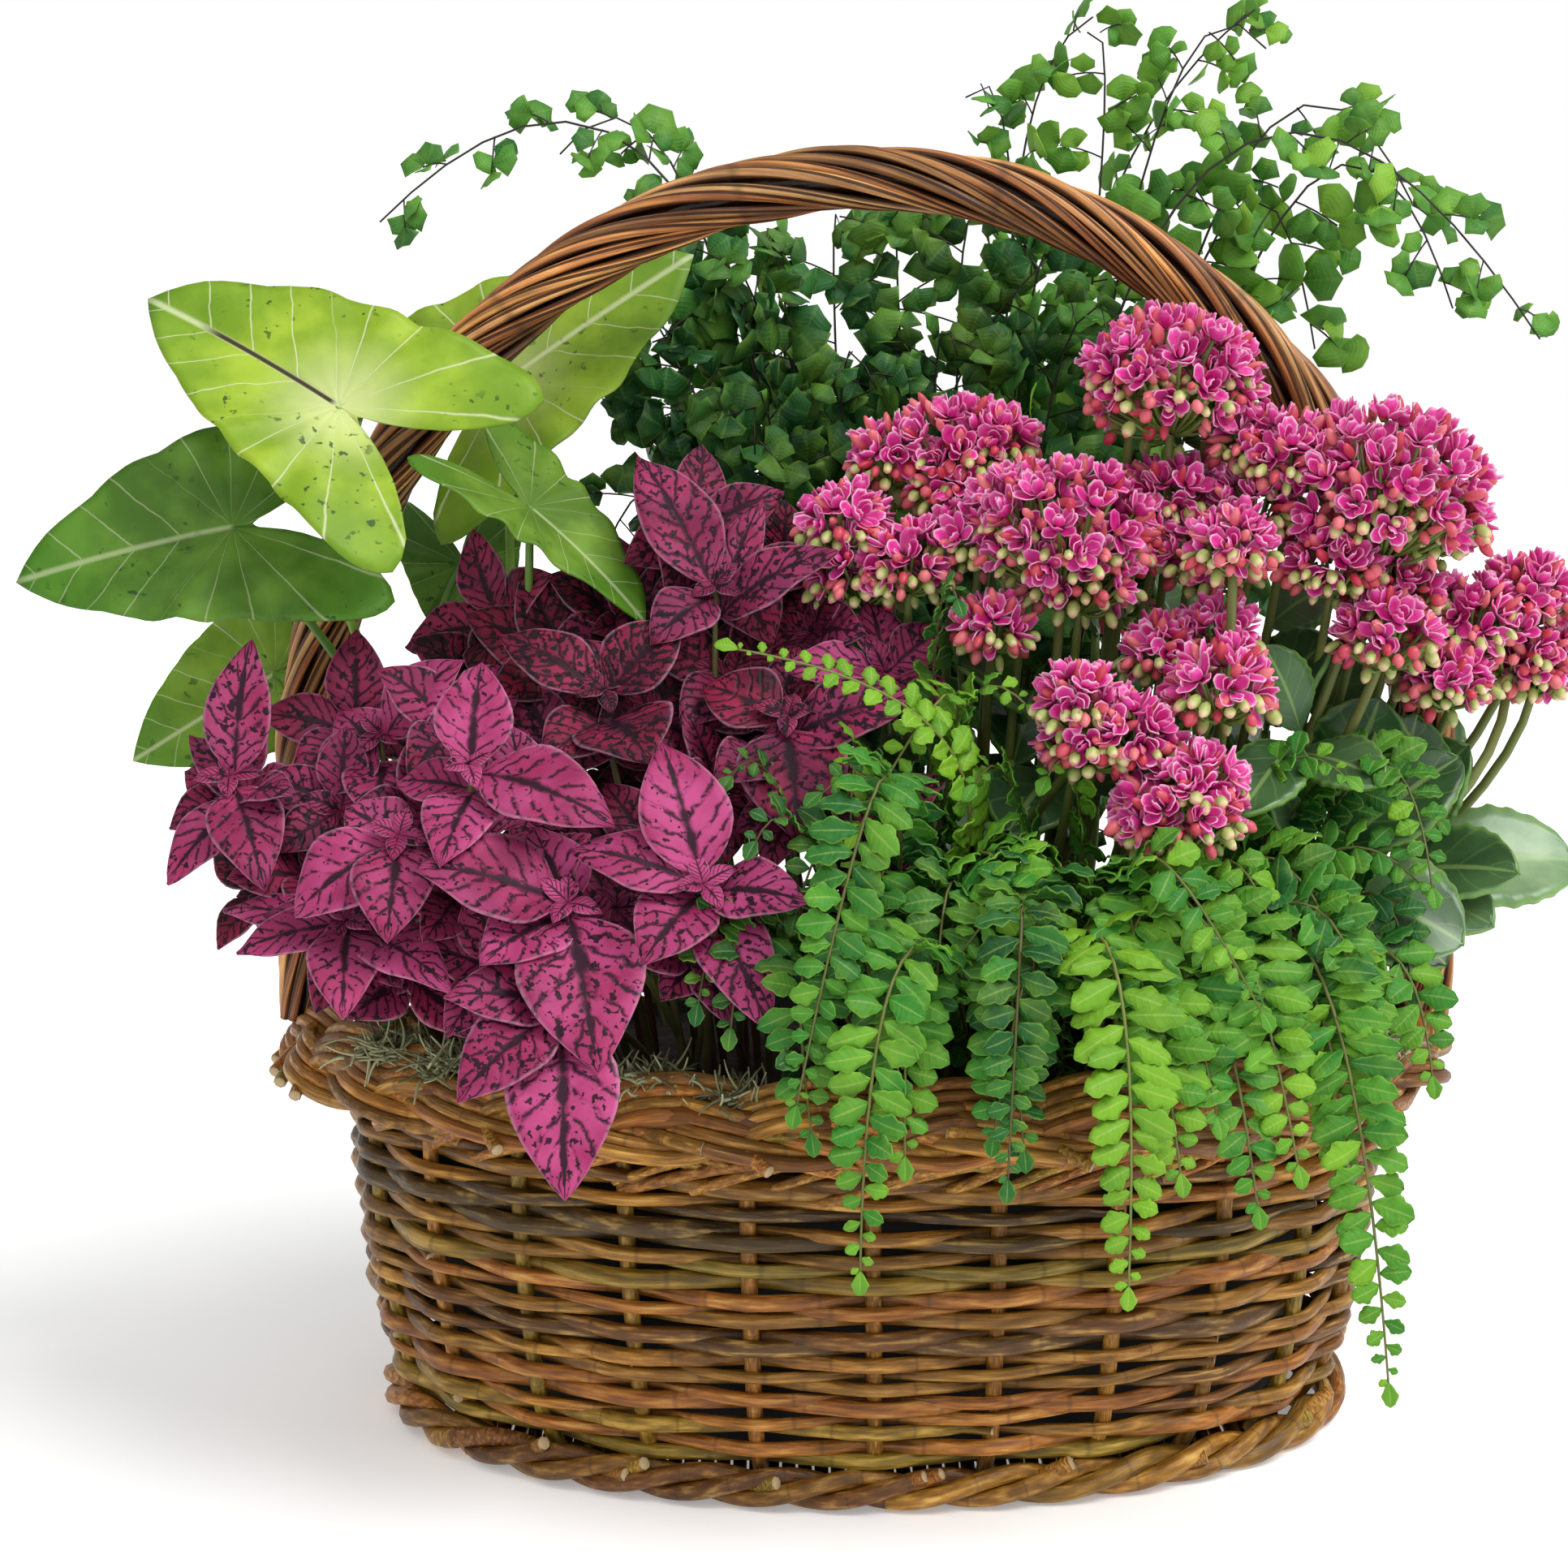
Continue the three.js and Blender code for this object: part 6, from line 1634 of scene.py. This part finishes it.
def maidenhair_frond(bundle, stems, curve, length, bare, kind, face, branches=15, leaflet=8.5):
    """Side stems leave the rib by turns to each side; fans sit along them, the last one on the end."""
    share = (np.arange(branches) + 0.4) / branches
    points, forward, normal, side = rib_places(curve, bare + (1 - bare) * share, face)
    hand = np.where(np.arange(branches) % 2, 1.0, -1.0)[:, None]
    reach = length * np.sin(np.pi * (0.24 + 0.62 * share)) ** 0.8
    lean = forward * rng.uniform(0.35, 0.8, (branches, 1))
    way = unit(side * hand + lean + rng.normal(0, 0.18, (branches, 3)))
    droop = np.array([0, 0, -1.0])
    t = np.linspace(0, 1, 5)[None, :, None]
    twigs = points[:, None] + way[:, None] * reach[:, None, None] * t + droop * (2.5 * t**2)
    stems.add_tubes(twigs, 0.28, 4, np.array([0.1, 0.3, 1.0]), tint_of(1.0))
    for index, place in enumerate((0.35, 0.6, 0.82, 1.0)):
        base = points + way * reach[:, None] * place + droop * 2.5 * place**2
        out = 1.0 if index % 2 else -1.0
        turn = way * (0.5 + (place == 1.0)) + forward * out * (place < 1.0)
        turn = unit(turn + rng.normal(0, 0.35, base.shape))
        tilt = unit(normal + rng.normal(0, 0.38, base.shape))
        size = leaflet * rng.uniform(0.7, 1.2, branches) * (1.2 - 0.4 * share)
        fan_leaflets(bundle, base, turn, tilt, size, np.clip(kind + rng.normal(0, 0.15, branches), 0, 1))
    thin_stem(stems, curve, 0.75, 0.3, 1.0, rows=30, sides=5)


# %% Further maidenhair fronds
MAIDENHAIR_STOPS = [(0, "#8cc03c"), (0.3, "#5a9a34"), (0.65, "#2f7232"), (1.0, "#17461f")]
# Root (X, Y), picture place and depth of the middle and of the tip, longest side stem, colour, leaflet
MAIDENHAIR_FILL = [
    ((-6, 50), (900, 520, 60), (800, 420, 50), 22, 0.9, 11),
    ((-4, 52), (930, 450, 66), (850, 330, 56), 22, 0.85, 11),
    ((0, 50), (980, 470, 70), (940, 300, 66), 22, 0.85, 11),
    ((4, 54), (1030, 440, 78), (1040, 290, 76), 22, 0.8, 11),
    ((30, 54), (1110, 430, 76), (1120, 280, 78), 22, 0.8, 10),
    ((36, 52), (1180, 420, 72), (1230, 290, 72), 22, 0.85, 11),
    ((44, 54), (1260, 450, 70), (1340, 320, 66), 22, 0.85, 11),
    ((46, 50), (1290, 520, 60), (1400, 420, 50), 20, 0.9, 10),
    ((-10, 48), (880, 600, 50), (800, 560, 40), 20, 0.95, 10),
    ((0, 46), (960, 580, 46), (930, 560, 30), 20, 0.9, 11),
    ((20, 50), (1040, 560, 60), (1080, 480, 50), 22, 0.9, 10),
    ((26, 54), (1150, 540, 60), (1180, 440, 54), 22, 0.9, 10),
    ((40, 56), (1250, 330, 92), (1190, 120, 90), 16, 0.35, 8),
    ((44, 58), (1350, 300, 96), (1340, 40, 92), 18, 0.25, 9),
    ((46, 56), (1400, 250, 92), (1560, 60, 88), 16, 0.25, 8),
    ((50, 54), (1480, 330, 80), (1620, 430, 60), 18, 0.3, 11),
    ((52, 52), (1560, 300, 70), (1790, 380, 50), 18, 0.35, 10),
    ((50, 56), (1500, 260, 84), (1740, 250, 70), 16, 0.4, 8),
    ((-8, 54), (880, 330, 76), (690, 190, 66), 14, 0.45, 8),
    ((44, 52), (1420, 500, 40), (1560, 560, 30), 18, 0.85, 9),
    ((10, 60), (1000, 560, 110), (900, 700, 130), 20, 0.8, 10),
    ((50, 60), (1250, 600, 110), (1330, 720, 134), 20, 0.8, 10),
    ((-10, 58), (860, 640, 96), (720, 760, 120), 20, 0.8, 10),
    ((70, 60), (1400, 640, 100), (1520, 760, 120), 20, 0.8, 10),
]


# %% Maidenhair fern
MAIDENHAIR_BARE, MAIDENHAIR_INNER_BARE = 0.34, 0.4


def maidenhair():
    blades, stems, misses = Bundle(), Bundle(), []
    nodes = numbered("maidenhair_frond", MAIDENHAIR_FRONDS)
    for index, (node, (middle, tip, length, kind)) in enumerate(zip(nodes, MAIDENHAIR_FRONDS)):
        face = FACE if index < 7 else BACK_FACE  # the last two fronds hang over the rear
        curve, miss = followed_frond(corners_of(node), middle, np.array(tip, float), MAIDENHAIR_BARE, face)
        misses.append(miss)
        leaflet = 10.5 if kind > 0.6 else 9.5
        maidenhair_frond(blades, stems, curve, length, MAIDENHAIR_BARE, kind, face, leaflet=leaflet)
    print("maidenhair ribs off the CAD by", np.round(misses, 2))
    finish = fern_finish("maidenhair_blade", MAIDENHAIR_STOPS, "#7fae55")
    blades.piece("maidenhair_leaflets", finish, "maidenhair_leaf", nodes, thickness=0.25)
    fill = Bundle()
    for (root_x, root_y), middle, tip, length, kind, leaflet in MAIDENHAIR_FILL:
        curve = arching((root_x, root_y, FOOT_Z_OF_FRONDS), seen(*middle), seen(*tip))
        face = FACE if middle[2] < 95 else BACK_FACE  # by the depth of the frond's middle
        maidenhair_frond(fill, stems, curve, length, MAIDENHAIR_INNER_BARE, kind, face, leaflet=leaflet)
    fill.piece("maidenhair_inner_leaflets", finish, "maidenhair_leaf", thickness=0.25)
    stems.piece("maidenhair_stems", stalk_finish("wiry_stem", "#3a2a1c", "#241712", 0.4), "maidenhair_stem")


maidenhair()
